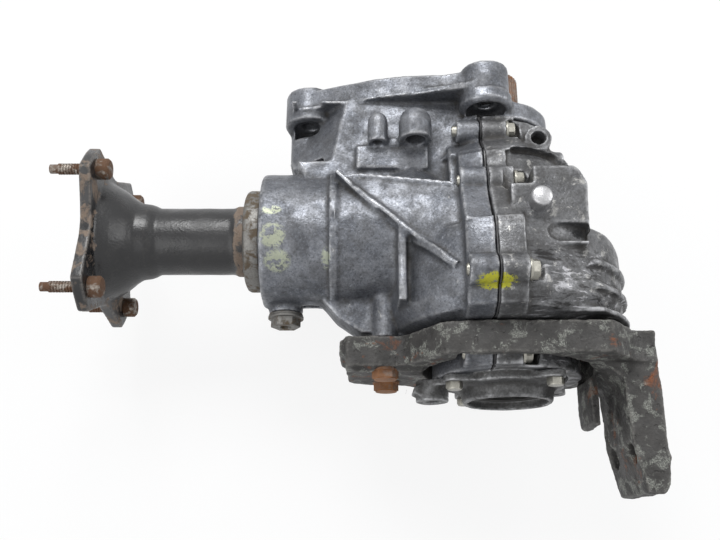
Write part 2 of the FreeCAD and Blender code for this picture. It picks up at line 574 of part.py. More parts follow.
def dust_shield():
    """The pressed ring on the flange that covers the pinion seal."""
    edge = [(-187, SEAL_JOURNAL_R + FIT), (-187, DUST_SHIELD_R - 3), (-186, DUST_SHIELD_R - 1),
            (-184, DUST_SHIELD_R),
            (NOSE_X - 1.2, DUST_SHIELD_R), (NOSE_X - 1.2, DUST_SHIELD_R - 2.2), (-184, DUST_SHIELD_R - 2.4),
            (-184, SEAL_JOURNAL_R + FIT)]
    return turned("X", edge)


def pinion_shaft():
    """The pinion: a bevel head, two bearing seats, a spline and a threaded end, in one piece."""
    pitch_r = RING_PITCH_R * PINION_TEETH / RING_TEETH
    module = 2 * RING_PITCH_R / RING_TEETH
    shift = 0.35
    ratio = (math.hypot(RING_PITCH_R, pitch_r) - RING_FACE) / math.hypot(RING_PITCH_R, pitch_r)
    cone_angle = math.atan2(PINION_TEETH, RING_TEETH)
    ded = (1.25 - shift) * module
    root = (-RING_PITCH_R - ded * math.sin(cone_angle), pitch_r - ded * math.cos(cone_angle))
    past = BLANK_PAST / math.hypot(RING_PITCH_R, pitch_r)
    toe, heel = ratio - past, 1 + past
    blank = [(root[0] * toe, 0), (root[0] * toe, root[1] * toe), (root[0] * heel, root[1] * heel),
             (HEAD_BEARING_X, root[1] + 2.2),
             (HEAD_BEARING_X, HEAD_BEARING[0] - FIT),
             (HEAD_BEARING_X - HEAD_BEARING[2] - 1, HEAD_BEARING[0] - FIT),
             (HEAD_BEARING_X - HEAD_BEARING[2] - 3, TAIL_BEARING[0] - FIT), (TAIL_X, TAIL_BEARING[0] - FIT),
             (TAIL_X, SPLINE_R - 1.4), (NUT_X + 1, SPLINE_R - 1.4), (NUT_X, 10.0),
             (NUT_X - NUT_H - 5, 10.0),
             (NUT_X - NUT_H - 6.5, 8.6), (NUT_X - NUT_H - 6.5, 0)]
    shaft = turned("X", blank).fuse(splined("X", SPLINE_R, SPLINE_R - 1.4, SPLINE_N, NUT_X + 1, TAIL_X - 1))
    return bevel_gear(V(-1, 0, 0), V(0, -1, 0), PINION_TEETH, RING_TEETH, pitch_r, RING_FACE, shift, shaft,
                      spiral_deg=SPIRAL_DEG, backlash=BACKLASH, sections=4)


def pinion_nut():
    end = NUT_X - NUT_H
    chamfered = turned("X", [(NUT_X, 0), (NUT_X, 16), (end + 1.5, 17.2), (end, 15), (end, 0)])
    nut = hexagon("X", 30, end, NUT_X - 2.5).common(chamfered)
    return nut.fuse(rod("X", 18.5, NUT_X - 3, NUT_X)).cut(rod("X", 10 + FIT, NUT_X - NUT_H - 1, NUT_X + 1))


# Differential

def ring_gear():
    pinion_r = RING_PITCH_R * PINION_TEETH / RING_TEETH
    module = 2 * RING_PITCH_R / RING_TEETH
    shift = -0.35
    distance = math.hypot(RING_PITCH_R, pinion_r)
    ratio = (distance - RING_FACE) / distance
    cone_angle = math.atan2(RING_TEETH, PINION_TEETH)
    ded = (1.25 - shift) * module
    root = (-pinion_r - ded * math.sin(cone_angle), RING_PITCH_R - ded * math.cos(cone_angle))
    toe, heel = ratio - BLANK_PAST / distance, 1 + BLANK_PAST / distance
    blank = [(root[0] * toe, RING_BORE_R + FIT), (root[0] * toe, root[1] * toe),
             (root[0] * heel, root[1] * heel),
             (RING_BACK_Y + 2, root[1] * heel), (RING_BACK_Y, root[1] - 2),
             (RING_BACK_Y, RING_BORE_R + FIT)]
    gear = bevel_gear(V(0, -1, 0), V(-1, 0, 0), RING_TEETH, PINION_TEETH, RING_PITCH_R, RING_FACE, shift,
                      turned("Y", blank), spiral_deg=-SPIRAL_DEG, gap_first=True, backlash=BACKLASH,
                      sections=4)
    return gear.cut(Part.makeCompound([rod("Y", 4 + FIT, RING_BACK_Y - 1, RING_BACK_Y + 10.5, at)
                                       for at in ring_bolt_places()]))


def ring_bolt_places():
    turns = [2 * math.pi * k / RING_BOLT_N for k in range(RING_BOLT_N)]
    return [(RING_BOLT_PCD / 2 * math.cos(t), RING_BOLT_PCD / 2 * math.sin(t)) for t in turns]


def differential_case():
    """The carrier that turns with the ring gear: two journals, a flange, two windows and a pin bore."""
    bore, outer, width = SIDE_BEARING
    flange_y = RING_BACK_Y - CASE_FLANGE_T
    left_y = LEFT_BEARING_Y - 1.5
    profile = [(RIGHT_BEARING_Y - width, SIDE_HUB_R + RUNNING), (RIGHT_BEARING_Y - width, bore - FIT),
               (RIGHT_BEARING_Y, bore - FIT), (RIGHT_BEARING_Y, 29), (flange_y, 31),
               (flange_y, CASE_FLANGE_R),
               (RING_BACK_Y, CASE_FLANGE_R), (RING_BACK_Y, RING_BORE_R - FIT),
               (RING_SEAT_Y, RING_BORE_R - FIT),
               (RING_SEAT_Y + 1, CASE_BODY_R), (24, CASE_BODY_R), (left_y - 4, 33), (LEFT_BEARING_Y, 29),
               (LEFT_BEARING_Y, bore - FIT), (LEFT_BEARING_Y + width, bore - FIT),
               (LEFT_BEARING_Y + width, SIDE_HUB_R + RUNNING)]
    side_back = side_gear_back() + WASHER_T + RUNNING
    body = turned("Y", profile)
    room = [rod("Y", CASE_ROOM_R, -side_back, side_back)]
    room += [rod("Z", 19.6, 0, way * (spider_back() + WASHER_T + RUNNING)) for way in (1, -1)]
    room += [rod("Z", CROSS_PIN_R + FIT, -60, 60), rod("Y", 2.5 + FIT, RING_SEAT_Y - 20, 6, (0, 39.5))]
    room += [block((-60, 60), (-17, 17), (-21, 21))]
    bolts = [rod("Y", 4 + FIT, flange_y - 1, RING_BACK_Y + 1, at) for at in ring_bolt_places()]
    return body.cut(room[0].multiFuse(room[1:])).cut(Part.makeCompound(bolts))


def side_gear_back():
    """How far the flat back of a side gear lies from the crossing point."""
    cone_angle = math.atan2(SIDE_TEETH, SPIDER_TEETH)
    return SIDE_MODULE * SPIDER_TEETH / 2 + 1.6 * SIDE_MODULE * math.sin(cone_angle) + 4.0


def spider_back():
    cone_angle = math.atan2(SPIDER_TEETH, SIDE_TEETH)
    return SIDE_MODULE * SIDE_TEETH / 2 + 0.95 * SIDE_MODULE * math.sin(cone_angle) + 4.6


def side_gear(way):
    pitch_r = SIDE_MODULE * SIDE_TEETH / 2
    near = SIDE_MODULE * SPIDER_TEETH / 2
    shift = -0.3
    distance = math.hypot(pitch_r, near)
    ratio = (distance - SIDE_FACE) / distance
    cone_angle = math.atan2(SIDE_TEETH, SPIDER_TEETH)
    ded = (1.25 - shift) * SIDE_MODULE
    root = (near + ded * math.sin(cone_angle), pitch_r - ded * math.cos(cone_angle))
    hub_end = LEFT_BEARING_Y + 8
    blank = [(way * root[0] * ratio, 0), (way * root[0] * ratio, root[1] * ratio), (way * root[0], root[1]),
             (way * side_gear_back(), root[1] + 1.2), (way * side_gear_back(), SIDE_HUB_R),
             (way * hub_end, SIDE_HUB_R), (way * hub_end, 0)]
    gear = bevel_gear(V(0, way, 0), V(0, 0, 1), SIDE_TEETH, SPIDER_TEETH, pitch_r, SIDE_FACE, shift,
                      turned("Y", blank),
                      gap_first=True, backlash=SIDE_BACKLASH)
    start, end = sorted((0, way * (hub_end + 1)))
    return gear.cut(splined("Y", 13.0, 11.8, SPLINE_N, start, end, RUNNING))


def spider_gear(way):
    pitch_r = SIDE_MODULE * SPIDER_TEETH / 2
    near = SIDE_MODULE * SIDE_TEETH / 2
    shift = 0.3
    distance = math.hypot(pitch_r, near)
    ratio = (distance - SIDE_FACE) / distance
    cone_angle = math.atan2(SPIDER_TEETH, SIDE_TEETH)
    ded = (1.25 - shift) * SIDE_MODULE
    root = (near + ded * math.sin(cone_angle), pitch_r - ded * math.cos(cone_angle))
    blank = [(way * root[0] * ratio, 0), (way * root[0] * ratio, root[1] * ratio), (way * root[0], root[1]),
             (way * spider_back(), root[1] + 1.5), (way * spider_back(), 0)]
    gear = bevel_gear(V(0, 0, way), V(0, 1, 0), SPIDER_TEETH, SIDE_TEETH, pitch_r, SIDE_FACE, shift,
                      turned("Z", blank),
                      backlash=SIDE_BACKLASH)
    return gear.cut(rod("Z", CROSS_PIN_R + RUNNING, 0, way * 60))


def cross_pin():
    pin = rod("Z", CROSS_PIN_R, -CASE_BODY_R + 0.5, CASE_BODY_R - 0.5)
    return pin.cut(rod("Y", 2.5 + FIT, -20, 20, (0, 39.5)))


def pin_lock():
    """The small rod that passes through the carrier and the cross pin."""
    return rod("Y", 2.5, RING_SEAT_Y + 2, 5.5, (0, 39.5))


def spider_washers():
    back = spider_back() + RUNNING / 2
    return [tube("Z", 17.5, CROSS_PIN_R + RUNNING, way * back, way * (back + WASHER_T)) for way in (1, -1)]


def side_gear_washers():
    back = side_gear_back() + RUNNING / 2
    return [tube("Y", 26.0, SIDE_HUB_R + RUNNING, way * back, way * (back + WASHER_T)) for way in (1, -1)]


# Output side

def side_bearing_retainer():
    """The flanged sleeve in the right hub: it seats the bearing cup and ends in the open output mouth."""
    bore, outer, width = SIDE_BEARING
    shoulder = RIGHT_BEARING_Y - width - WASHER_T - 2 * FIT
    flange_y = RIGHT_HUB_Y - RETAINER_FLANGE_T
    profile = [(RIGHT_BEARING_Y - 3, outer + FIT), (RIGHT_BEARING_Y - 3, RETAINER_R),
               (RIGHT_HUB_Y, RETAINER_R),
               (RIGHT_HUB_Y, RETAINER_R - 2), (flange_y, RETAINER_R - 2),
               (flange_y - 2, RETAINER_NOSE_R + 1.5),
               (HUB_FACE_Y + 1, RETAINER_NOSE_R), (HUB_FACE_Y, RETAINER_NOSE_R - 0.8),
               (HUB_FACE_Y, OUTPUT_BORE_R), (HUB_FACE_Y + 6, OUTPUT_BORE_R),
               (HUB_FACE_Y + 6, OUTPUT_BORE_R - 1.5), (HUB_FACE_Y + 15, OUTPUT_BORE_R - 1.5),
               (HUB_FACE_Y + 15, 24.5), (shoulder, 24.5), (shoulder, outer + FIT)]
    body = turned("Y", profile)
    ears = [link("Y", (0, 0), at, 30, 7.5, flange_y, RIGHT_HUB_Y) for at in retainer_bolt_places()]
    gusset = [(-42, flange_y - 8, 0), (-42, flange_y + 1, 0), (-80, flange_y + 1, 3),
              (-72, flange_y - 2, 0), (-60, HUB_FACE_Y + 3, 3)]
    boss = [rod("Y", 11.5, HUB_FACE_Y + 0.5, RIGHT_HUB_Y + 5.5, RETAINER_BOSS),
            link("Y", (0, 0), RETAINER_BOSS, 30, 11.5, flange_y, RIGHT_HUB_Y),
            plate("Z", gusset, RETAINER_BOSS[1] - 8, RETAINER_BOSS[1] + 8)]
    keep = tube("Y", 90, OUTPUT_BORE_R + 1, HUB_FACE_Y - 1, RIGHT_HUB_Y)
    body = body.multiFuse([s.common(keep) for s in ears + boss])
    holes = [rod("Y", RETAINER_BOLT_R + FIT, flange_y - 1, RIGHT_HUB_Y + 1, at)
             for at in retainer_bolt_places()]
    holes.append(rod("Y", 5, HUB_FACE_Y - 1, RIGHT_HUB_Y - 0.5, RETAINER_BOSS))
    return body.cut(fused(holes))


def retainer_bolt_places():
    turns = [math.radians(d) for d in RETAINER_BOLTS_DEG]
    return [(RETAINER_BOLTS_R * math.cos(t), RETAINER_BOLTS_R * math.sin(t)) for t in turns]


def left_output_shaft():
    """The stub shaft: splined in the side gear, smooth in the seal, splined again outside."""
    hub_end = LEFT_BEARING_Y + 8
    profile = [(CLIP_Y - 1.6, 0), (CLIP_Y - 1.6, 11.0), (CLIP_Y - 0.8, 11.8), (hub_end, 11.8),
               (hub_end + 1, OUTPUT_SHAFT_R - 3), (SIDE_GAP_Y, OUTPUT_SHAFT_R - 3),
               (SIDE_GAP_Y + 3, OUTPUT_SHAFT_R), (LEFT_HUB_Y, OUTPUT_SHAFT_R),
               (LEFT_HUB_Y + 1, OUTPUT_SPLINE_R - 1.6), (OUTPUT_END_Y - 3, OUTPUT_SPLINE_R - 1.6),
               (OUTPUT_END_Y, OUTPUT_SPLINE_R - 4), (OUTPUT_END_Y, 0)]
    shaft = turned("Y", profile)
    start = LEFT_HUB_Y + 1
    relief = turned("Y", [(start, 0), (start, 20), (start + 3, 23), (OUTPUT_END_Y - 3, 23),
                          (OUTPUT_END_Y, 18), (OUTPUT_END_Y, 0)])
    teeth = splined("Y", OUTPUT_SPLINE_R, OUTPUT_SPLINE_R - 1.7, OUTPUT_SPLINE_N, start, OUTPUT_END_Y)
    teeth = teeth.common(relief)
    inner = splined("Y", 13.0, 11.8, SPLINE_N, CLIP_Y + 1.5, hub_end - 0.5)
    shaft = shaft.multiFuse([teeth, inner])
    groove = tube("Y", 15, 10.8, CLIP_Y - 0.05, CLIP_Y + 1.35)
    return shaft.cut(groove).cut(rod("Y", 5, OUTPUT_END_Y - 8, OUTPUT_END_Y + 1))


def shaft_clip():
    ring = tube("Y", 12.9, 10.8 + FIT, CLIP_Y, CLIP_Y + 1.3)
    return ring.cut(block((-2, 2), (0, 20), (0, 20)))


def mount_bracket():
    """The cast bracket on the right side, with its arm."""
    face = [(-114, 25, 3), (-73, 26, 8), (-50, 62, 14), (-20, BRACKET_TOP, 20), (62, BRACKET_TOP, 12),
            (ARM_X1, 38, 8), (ARM_X1, -16, 8), (58, -66, 16), (-44, -66, 16), (-74, -48, 10),
            (-112, -46, 8)]
    body = plate("Y", face, BRACKET_Y0, BRACKET_Y1)
    arm_plan = [(ARM_X0 - 8, BRACKET_Y1, 0), (89, BRACKET_Y1, 4), (93.5, -88, 4), (ARM_X1, -112, 0),
                (ARM_X1 - 1, -156, 0), (ARM_X1 + 0.5, -162, 3), (ARM_X1 - 2, -179, 4), (90, ARM_END_Y, 3),
                (72, ARM_END_Y + 1, 4), (ARM_X0, -165, 0), (ARM_X0, -110, 0), (ARM_X0 - 12, -96, 4)]
    body = body.fuse(plate("Z", arm_plan, -24, 38))
    pad_plan = [(HUB_R + 2, -99, 0), (HUB_R + 2, -124, 3), (54.5, -138, 3), (61, -139, 3),
                (ARM_X0 + 1, -150, 0), (ARM_X0 + 1, -99, 0)]
    pad = plate("Z", pad_plan, -20, 16)
    rib = plate("Y", [(-109, 16, 1), (-60, 16, 1), (-60, 20, 1), (-109, 20, 1)], BRACKET_Y0 - 3,
                BRACKET_Y0 + 1)
    ledge = plate("Y", [(-118, 20, 2), (-118, -30, 4), (-100, -40, 4), (-100, 20, 2)], BRACKET_Y1 - 12,
                  BRACKET_Y1 - 2)
    body = body.multiFuse([pad, rib, ledge])
    holes = [rod("Y", BRACKET_HOLE_R, BRACKET_Y0 - 5, BRACKET_Y1 + 1),
             block((-40, 6), (BRACKET_Y0 - 1, BRACKET_Y1 + 1), (-61, 58))]
    holes += [rod("Y", BRACKET_BOLT_R + SEAT / 2, BRACKET_Y0 - 5, BRACKET_Y1 + 1, at)
              for at in BRACKET_BOLTS]
    holes += [rod("Y", BRACKET_BOLT_R * 2.1, BRACKET_Y0 - 5, BRACKET_Y0 + 1, at) for at in BRACKET_BOLTS]
    holes += [rod("X", ARM_BOLT_R, 40, 120, at) for at in ARM_BOLTS]
    return body.cut(fused(holes))


def bracket_bolts():
    return [hex_bolt("Y", BRACKET_BOLT_R, 16, BRACKET_Y0 + 1, -1, 38, at, 10.0) for at in BRACKET_BOLTS]


# Breather and plugs

def breather_stem():
    foot = PLATFORM_TOP
    stem = turned("Z", [(foot - 14, 0), (foot - 14, 5), (foot, 5), (foot, BREATHER_R),
                        (foot + 2.5, BREATHER_R), (foot + 4, 6.2), (foot + 8, 5.6), (foot + 19, 5.6),
                        (foot + 19, 0)], BREATHER_AT)
    return stem.cut(rod("Z", 2, foot - 15, foot + 20, BREATHER_AT))


def breather_cap():
    top, bore = BREATHER_TOP, 5.6 + FIT
    return turned("Z", [(PLATFORM_TOP + 8.5, bore), (PLATFORM_TOP + 8, BREATHER_CAP_R),
                        (top - 2.5, BREATHER_CAP_R), (top - 1, BREATHER_CAP_R - 0.8),
                        (top, BREATHER_CAP_R - 2.6), (top, 0), (top - 1.2, 0), (top - 1.2, 3),
                        (top - 5.9, 3), (top - 5.9, bore)], BREATHER_AT)


def plug(axis, face, way, at):
    """A screwed plug with a hexagon head, and its sealing washer."""
    seat = face + way * 1.5
    body = hexagon(axis, 19, seat, face + way * 9.5, at)
    body = body.fuse(rod(axis, 13, seat, face + way * 3.5, at))
    body = body.fuse(rod(axis, PLUG_R, seat, face - way * 14, at))
    body = body.cut(rod(axis, 4, face + way * 3, face + way * 10, at))
    return body, tube(axis, 12.5, PLUG_R + FIT, face, seat, at)


# Export

HUB_ORIGIN = V(0, -HUB_FACE_Y, 0)
os.makedirs("parts", exist_ok=True)


def save(name, shape):
    """Writes one piece, or a group of like pieces, in the frame of the part."""
    shape = Part.makeCompound(shape) if isinstance(shape, list) else shape
    if len(shape.Solids) == 1:
        shape = shape.Solids[0]
    shape = shape.copy()
    shape.translate(HUB_ORIGIN)
    shape.exportStep("parts/" + name + ".step")


save("main_case", main_case())
save("front_cover", front_cover())
save("cover_gasket", cover_gasket())
save("cover_bolts", cover_bolts())
save("input_flange", input_flange())
save("flange_studs", [flange_stud(at) for at in stud_places()])
save("dust_shield", dust_shield())
save("pinion_shaft", pinion_shaft())
save("pinion_nut", pinion_nut())
save("pinion_seal",
     seal("X", PINION_SEAL_R, SEAL_JOURNAL_R + RUNNING / 2, NOSE_X + 1, NOSE_X + 1 + PINION_SEAL_W))
save("pinion_spacer",
     tube("X", HEAD_BEARING[0] + 3.5, HEAD_BEARING[0] + FIT, HEAD_BEARING_X - HEAD_BEARING[2] - 1,
          TAIL_BEARING_X).fuse(
    tube("X", HEAD_BEARING[0] + 3.5, TAIL_BEARING[0] + FIT, TAIL_BEARING_X + 4, TAIL_BEARING_X)))
cup, rolling = tapered_bearing("X", HEAD_BEARING, HEAD_BEARING_X, -1)
save("pinion_head_bearing_cup", cup)
save("pinion_head_bearing_cone", rolling)
save("pinion_shim",
     tube("X", HEAD_BEARING[1], HEAD_BEARING[1] - 6, HEAD_BEARING_X - HEAD_BEARING[2],
          HEAD_BEARING_X - HEAD_BEARING[2] - WASHER_T / 2))
cup, rolling = tapered_bearing("X", TAIL_BEARING, TAIL_X, 1)
save("pinion_tail_bearing_cup", cup)
save("pinion_tail_bearing_cone", rolling)
save("ring_gear", ring_gear())
save("ring_gear_bolts",
     [hex_bolt("Y", 4, 13, RING_BACK_Y - CASE_FLANGE_T, -1, CASE_FLANGE_T + 9.5, at)
      for at in ring_bolt_places()])
save("differential_case", differential_case())
save("cross_pin", cross_pin())
save("cross_pin_lock", pin_lock())
save("upper_spider_gear", spider_gear(1))
save("lower_spider_gear", spider_gear(-1))
save("spider_washers", spider_washers())
save("left_side_gear", side_gear(1))
save("right_side_gear", side_gear(-1))
save("side_gear_washers", side_gear_washers())
for name, start, way in (("left", LEFT_BEARING_Y, 1), ("right", RIGHT_BEARING_Y, -1)):
    cup, rolling = tapered_bearing("Y", SIDE_BEARING, start, way)
    save(name + "_side_bearing_cup", cup)
    save(name + "_side_bearing_cone", rolling)
    back = start + way * SIDE_BEARING[2]
    save(name + "_side_shim", tube("Y", SIDE_BEARING[1], SIDE_BEARING[1] - 8, back, back + way * WASHER_T))
save("side_bearing_retainer", side_bearing_retainer())
save("retainer_bolts",
     [hex_bolt("Y", RETAINER_BOLT_R, 10, RIGHT_HUB_Y - RETAINER_FLANGE_T, -1, 18, at)
      for at in retainer_bolt_places()[1:]])
save("left_output_shaft", left_output_shaft())
save("left_output_clip", shaft_clip())
save("left_output_seal",
     seal("Y", OUTPUT_SEAL_R, OUTPUT_SHAFT_R + RUNNING / 2, LEFT_HUB_Y - 1, LEFT_HUB_Y - 11))
save("right_output_seal", seal("Y", OUTPUT_BORE_R - 1.5, 17.5, HUB_FACE_Y + 6, HUB_FACE_Y + 15))
save("mount_bracket", mount_bracket())
save("bracket_bolts", bracket_bolts())
save("breather_stem", breather_stem())
save("breather_cap", breather_cap())
for name, axis, face, at in (("filler", "Y", FILLER_FACE_Y, FILLER_AT),
                             ("drain", "Z", DRAIN_AT[1] - 30, (DRAIN_AT[0], 0))):
    screw, washer = plug(axis, face, -1, at)
    save(name + "_plug", screw)
    save(name + "_plug_washer", washer)
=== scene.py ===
"""A used front differential on a pale floor, lit softly and seen from above."""

from __future__ import annotations

import logging
import math
from dataclasses import dataclass, field
from enum import Enum
from functools import partialmethod

import bmesh
import bpy
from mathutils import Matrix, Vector, noise


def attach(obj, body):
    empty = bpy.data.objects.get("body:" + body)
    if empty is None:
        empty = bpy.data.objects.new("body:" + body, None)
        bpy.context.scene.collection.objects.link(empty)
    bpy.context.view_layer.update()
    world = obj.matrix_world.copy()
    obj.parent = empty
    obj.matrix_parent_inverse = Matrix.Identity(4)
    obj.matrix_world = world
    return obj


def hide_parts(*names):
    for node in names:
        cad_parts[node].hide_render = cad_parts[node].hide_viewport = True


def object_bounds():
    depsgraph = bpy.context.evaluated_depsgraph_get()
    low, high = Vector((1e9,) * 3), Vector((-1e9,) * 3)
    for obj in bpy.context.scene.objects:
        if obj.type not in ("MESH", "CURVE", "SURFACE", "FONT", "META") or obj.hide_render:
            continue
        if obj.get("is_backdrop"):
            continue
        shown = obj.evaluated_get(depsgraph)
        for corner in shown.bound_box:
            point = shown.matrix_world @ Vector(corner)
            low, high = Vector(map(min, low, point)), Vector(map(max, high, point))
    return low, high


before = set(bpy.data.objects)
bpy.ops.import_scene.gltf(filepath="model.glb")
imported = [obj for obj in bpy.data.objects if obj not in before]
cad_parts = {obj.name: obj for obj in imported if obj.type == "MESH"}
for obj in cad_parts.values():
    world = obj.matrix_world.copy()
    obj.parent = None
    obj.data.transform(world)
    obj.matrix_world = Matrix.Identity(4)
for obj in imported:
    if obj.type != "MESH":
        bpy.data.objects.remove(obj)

LOG = logging.getLogger("differential")

# The frame: one millimetre, the axle line and the housing's split
MM = 0.001
AXLE_Y = 121.5
SPLIT_X = -17.0

# Angles in degrees: facets of one flat face, edges that are broken, and edges that stay crisp
FLAT_ANGLE = 1.0
BROKEN_ANGLE = 32.0
CRISP_ANGLE = 34.0
CAD_CRISP_ANGLE = 30.0

# Waves for each metre of the castings' slow and fine unevenness
WAVE_SCALE = 90.0
CRUST_SCALE = 520.0

# How far the breather and the filler plug sit from their CAD nodes, in millimetres
BREATHER_SHIFT = (-7.0, -2.5, 4.0)
FILLER_SHIFT = (-17.0, 11.5, 0.0)

# Profiles of the room for the gears and for the pinion: distance along the axis and radius
GEAR_ROOM = [(-70.5, 62.0), (-61.0, 77.5), (-57.0, 78.6), (-17.0, 78.6), (-15.5, 62.1), (2.0, 52.6),
             (34.0, 48.6)]
PINION_ROOM = [(-162.0, 32.1), (-145.0, 32.1), (-144.8, 27.6), (-98.6, 27.6), (-98.4, 36.1), (-76.0, 36.1),
               (-75.8, 31.1), (-40.0, 31.1)]

# Outline across X of the metal between the bolt bosses of the split
SEAM_FILL = [(14.0, 58.0), (14.0, 69.0), (4.0, 74.0), (-8.0, 80.5), (-16.0, 85.0), (-16.0, 58.0)]

Pair = tuple[float, float]
Triple = tuple[float, float, float]
Colour = Triple
Mesh = bpy.types.Mesh
Object = bpy.types.Object
Outputs = bpy.types.NodeOutputs
Socket = bpy.types.NodeSocket


def place(x: float, y: float, z: float) -> Vector:
    """A point given in millimetres from the crossing of the two gear lines.

    Args:
        x: Distance forward of the axle line.
        y: Distance to the left of the pinion line.
        z: Height over both lines.

    Returns:
        The point in the part's frame, in metres.
    """
    return Vector((x, y + AXLE_Y, z)) * MM


def scaled(colour: Colour, by: float) -> Colour:
    """A colour made darker or lighter."""
    return tuple(channel * by for channel in colour)


class Body(Enum):
    """The rigid bodies that pieces ride on."""

    HOUSING = "housing"
    PINION = "pinion"


class Graph:
    """A thin hand for wiring shader nodes."""

    def __init__(self, tree: bpy.types.NodeTree) -> None:
        """Keeps the node tree that is wired."""
        self.tree = tree

    def node(self, kind: str, **settings: object) -> bpy.types.Node:
        """Adds a node of a type and sets its properties."""
        made = self.tree.nodes.new(kind)
        for name, value in settings.items():
            setattr(made, name, value)
        return made

    def feed(self, socket: Socket, value: object) -> None:
        """Links an output socket into an input, or sets a number or a colour on it."""
        if isinstance(value, Socket):
            self.tree.links.new(value, socket)
        elif isinstance(value, tuple) and len(value) == 3 and socket.type == "RGBA":
            socket.default_value = (*value, 1.0)
        else:
            socket.default_value = value

    def maths(self, operation: str, a: object, b: object, clamp: bool = False) -> Socket:
        """Combines two values.

        Args:
            operation: The name of the operation.
            a: First value or socket.
            b: Second value or socket.
            clamp: Whether the result stays from 0 to 1.
        """
        made = self.node("ShaderNodeMath", operation=operation, use_clamp=clamp)
        self.feed(made.inputs[0], a)
        self.feed(made.inputs[1], b)
        return made.outputs[0]

    plus = partialmethod(maths, "ADD")
    less = partialmethod(maths, "SUBTRACT")
    times = partialmethod(maths, "MULTIPLY")
    over = partialmethod(maths, "DIVIDE")

    def vectors(self, operation: str, a: object, b: object = (0.0, 0.0, 0.0)) -> Outputs:
        """Combines two vectors, and returns the outputs, of which the first is the vector."""
        made = self.node("ShaderNodeVectorMath", operation=operation)
        self.feed(made.inputs[0], a)
        self.feed(made.inputs[1], b)
        return made.outputs

    def spread(self, value: object, low: float, high: float, bottom: float = 0.0, top: float = 1.0) -> Socket:
        """Stretches a value smoothly between two limits.

        Args:
            value: The value or socket.
            low: The value that gives bottom.
            high: The value that gives top.
            bottom: The lowest result.
            top: The highest result.
        """
        made = self.node("ShaderNodeMapRange", interpolation_type="SMOOTHSTEP")
        names = ("Value", "From Min", "From Max", "To Min", "To Max")
        for name, number in zip(names, (value, low, high, bottom, top)):
            self.feed(made.inputs[name], number)
        return made.outputs["Result"]

    def mix(self, factor: object, a: object, b: object) -> Socket:
        """Mixes two colours, from the first at a factor of 0 to the second at 1."""
        made = self.node("ShaderNodeMix", data_type="RGBA")
        self.feed(made.inputs["Factor"], factor)
        self.feed(made.inputs[6], a)
        self.feed(made.inputs[7], b)
        return made.outputs[2]

    def noise(self, where: Socket, scale: object, detail: float = 4.0, roughness: float = 0.55,
              warp: float = 0.0) -> Socket:
        """A cloud of noise.

        Args:
            where: The coordinates.
            scale: Waves for each metre.
            detail: Octaves.
            roughness: Weight of the finer octaves.
            warp: Distortion.
        """
        made = self.node("ShaderNodeTexNoise")
        names = ("Vector", "Scale", "Detail", "Roughness", "Distortion")
        for name, value in zip(names, (where, scale, detail, roughness, warp)):
            self.feed(made.inputs[name], value)
        return made.outputs["Fac"]

    def here(self) -> Socket:
        """The coordinates of the object, in metres in the part's frame."""
        return self.node("ShaderNodeTexCoord").outputs["Object"]

    def axes(self, where: Socket) -> Outputs:
        """The three coordinates of a point, one by one."""
        made = self.node("ShaderNodeSeparateXYZ")
        self.feed(made.inputs[0], where)
        return made.outputs

    def pointiness(self) -> Socket:
        """How far the surface bulges (over a half) or is hollow (under it)."""
        return self.node("ShaderNodeNewGeometry").outputs["Pointiness"]

    def shader(self, kind: str, colour: Colour, **values: float) -> Socket:
        """Adds a shader of one colour, with values for its other inputs."""
        made = self.node(kind)
        self.feed(made.inputs["Color"], colour)
        for name, value in values.items():
            self.feed(made.inputs[name], value)
        return made.outputs[0]

    def bump(self, height: Socket, depth: float, strength: float = 1.0) -> Socket:
        """The surface's direction when a height of one raises it by a depth in metres."""
        made = self.node("ShaderNodeBump")
        for name, value in zip(("Strength", "Distance", "Height"), (strength, depth, height)):
            self.feed(made.inputs[name], value)
        return made.outputs["Normal"]

    def between(self, factor: Socket, a: Socket, b: Socket) -> Socket:
        """Mixes two shaders by a factor."""
        made = self.node("ShaderNodeMixShader")
        for k, value in enumerate((factor, a, b)):
            self.feed(made.inputs[k], value)
        return made.outputs[0]


def empty_graph(owner: bpy.types.Material | bpy.types.World) -> Graph:
    """The graph of a material or a world, without nodes."""
    owner.use_nodes = True
    owner.node_tree.nodes.clear()
    return Graph(owner.node_tree)


class Effect:
    """An effect that several finishes use, kept as one node group."""

    name = "effect"
    inputs: tuple[tuple[str, float], ...] = ()
    outputs: tuple[str, ...] = ("Mask",)

    @classmethod
    def group(cls) -> bpy.types.NodeTree:
        """The node group, built when it is first asked for."""
        found = bpy.data.node_groups.get(cls.name)
        if found:
            return found
        tree = bpy.data.node_groups.new(cls.name, "ShaderNodeTree")
        for name, value in cls.inputs:
            made = tree.interface.new_socket(name, in_out="INPUT", socket_type="NodeSocketFloat")
            made.default_value = value
        for name in cls.outputs:
            tree.interface.new_socket(name, in_out="OUTPUT", socket_type="NodeSocketFloat")
        graph = Graph(tree)
        source = graph.node("NodeGroupInput")
        sink = graph.node("NodeGroupOutput")
        for name, value in cls.wire(graph, source.outputs).items():
            graph.feed(sink.inputs[name], value)
        return tree

    @classmethod
    def wire(cls, graph: Graph, given: Outputs) -> dict[str, Socket]:
        """Wires the effect from the group's inputs, and returns a socket for each of its outputs."""
        raise NotImplementedError

    @classmethod
    def use(cls, graph: Graph, **values: object) -> Outputs:
        """Places the effect in a material.

        Args:
            graph: The material's graph.
            **values: A value or socket for each input.

        Returns:
            The outputs of the placed group.
        """
        made = graph.node("ShaderNodeGroup", node_tree=cls.group())
        for name, value in values.items():
            graph.feed(made.inputs[name.title()], value)
        return made.outputs


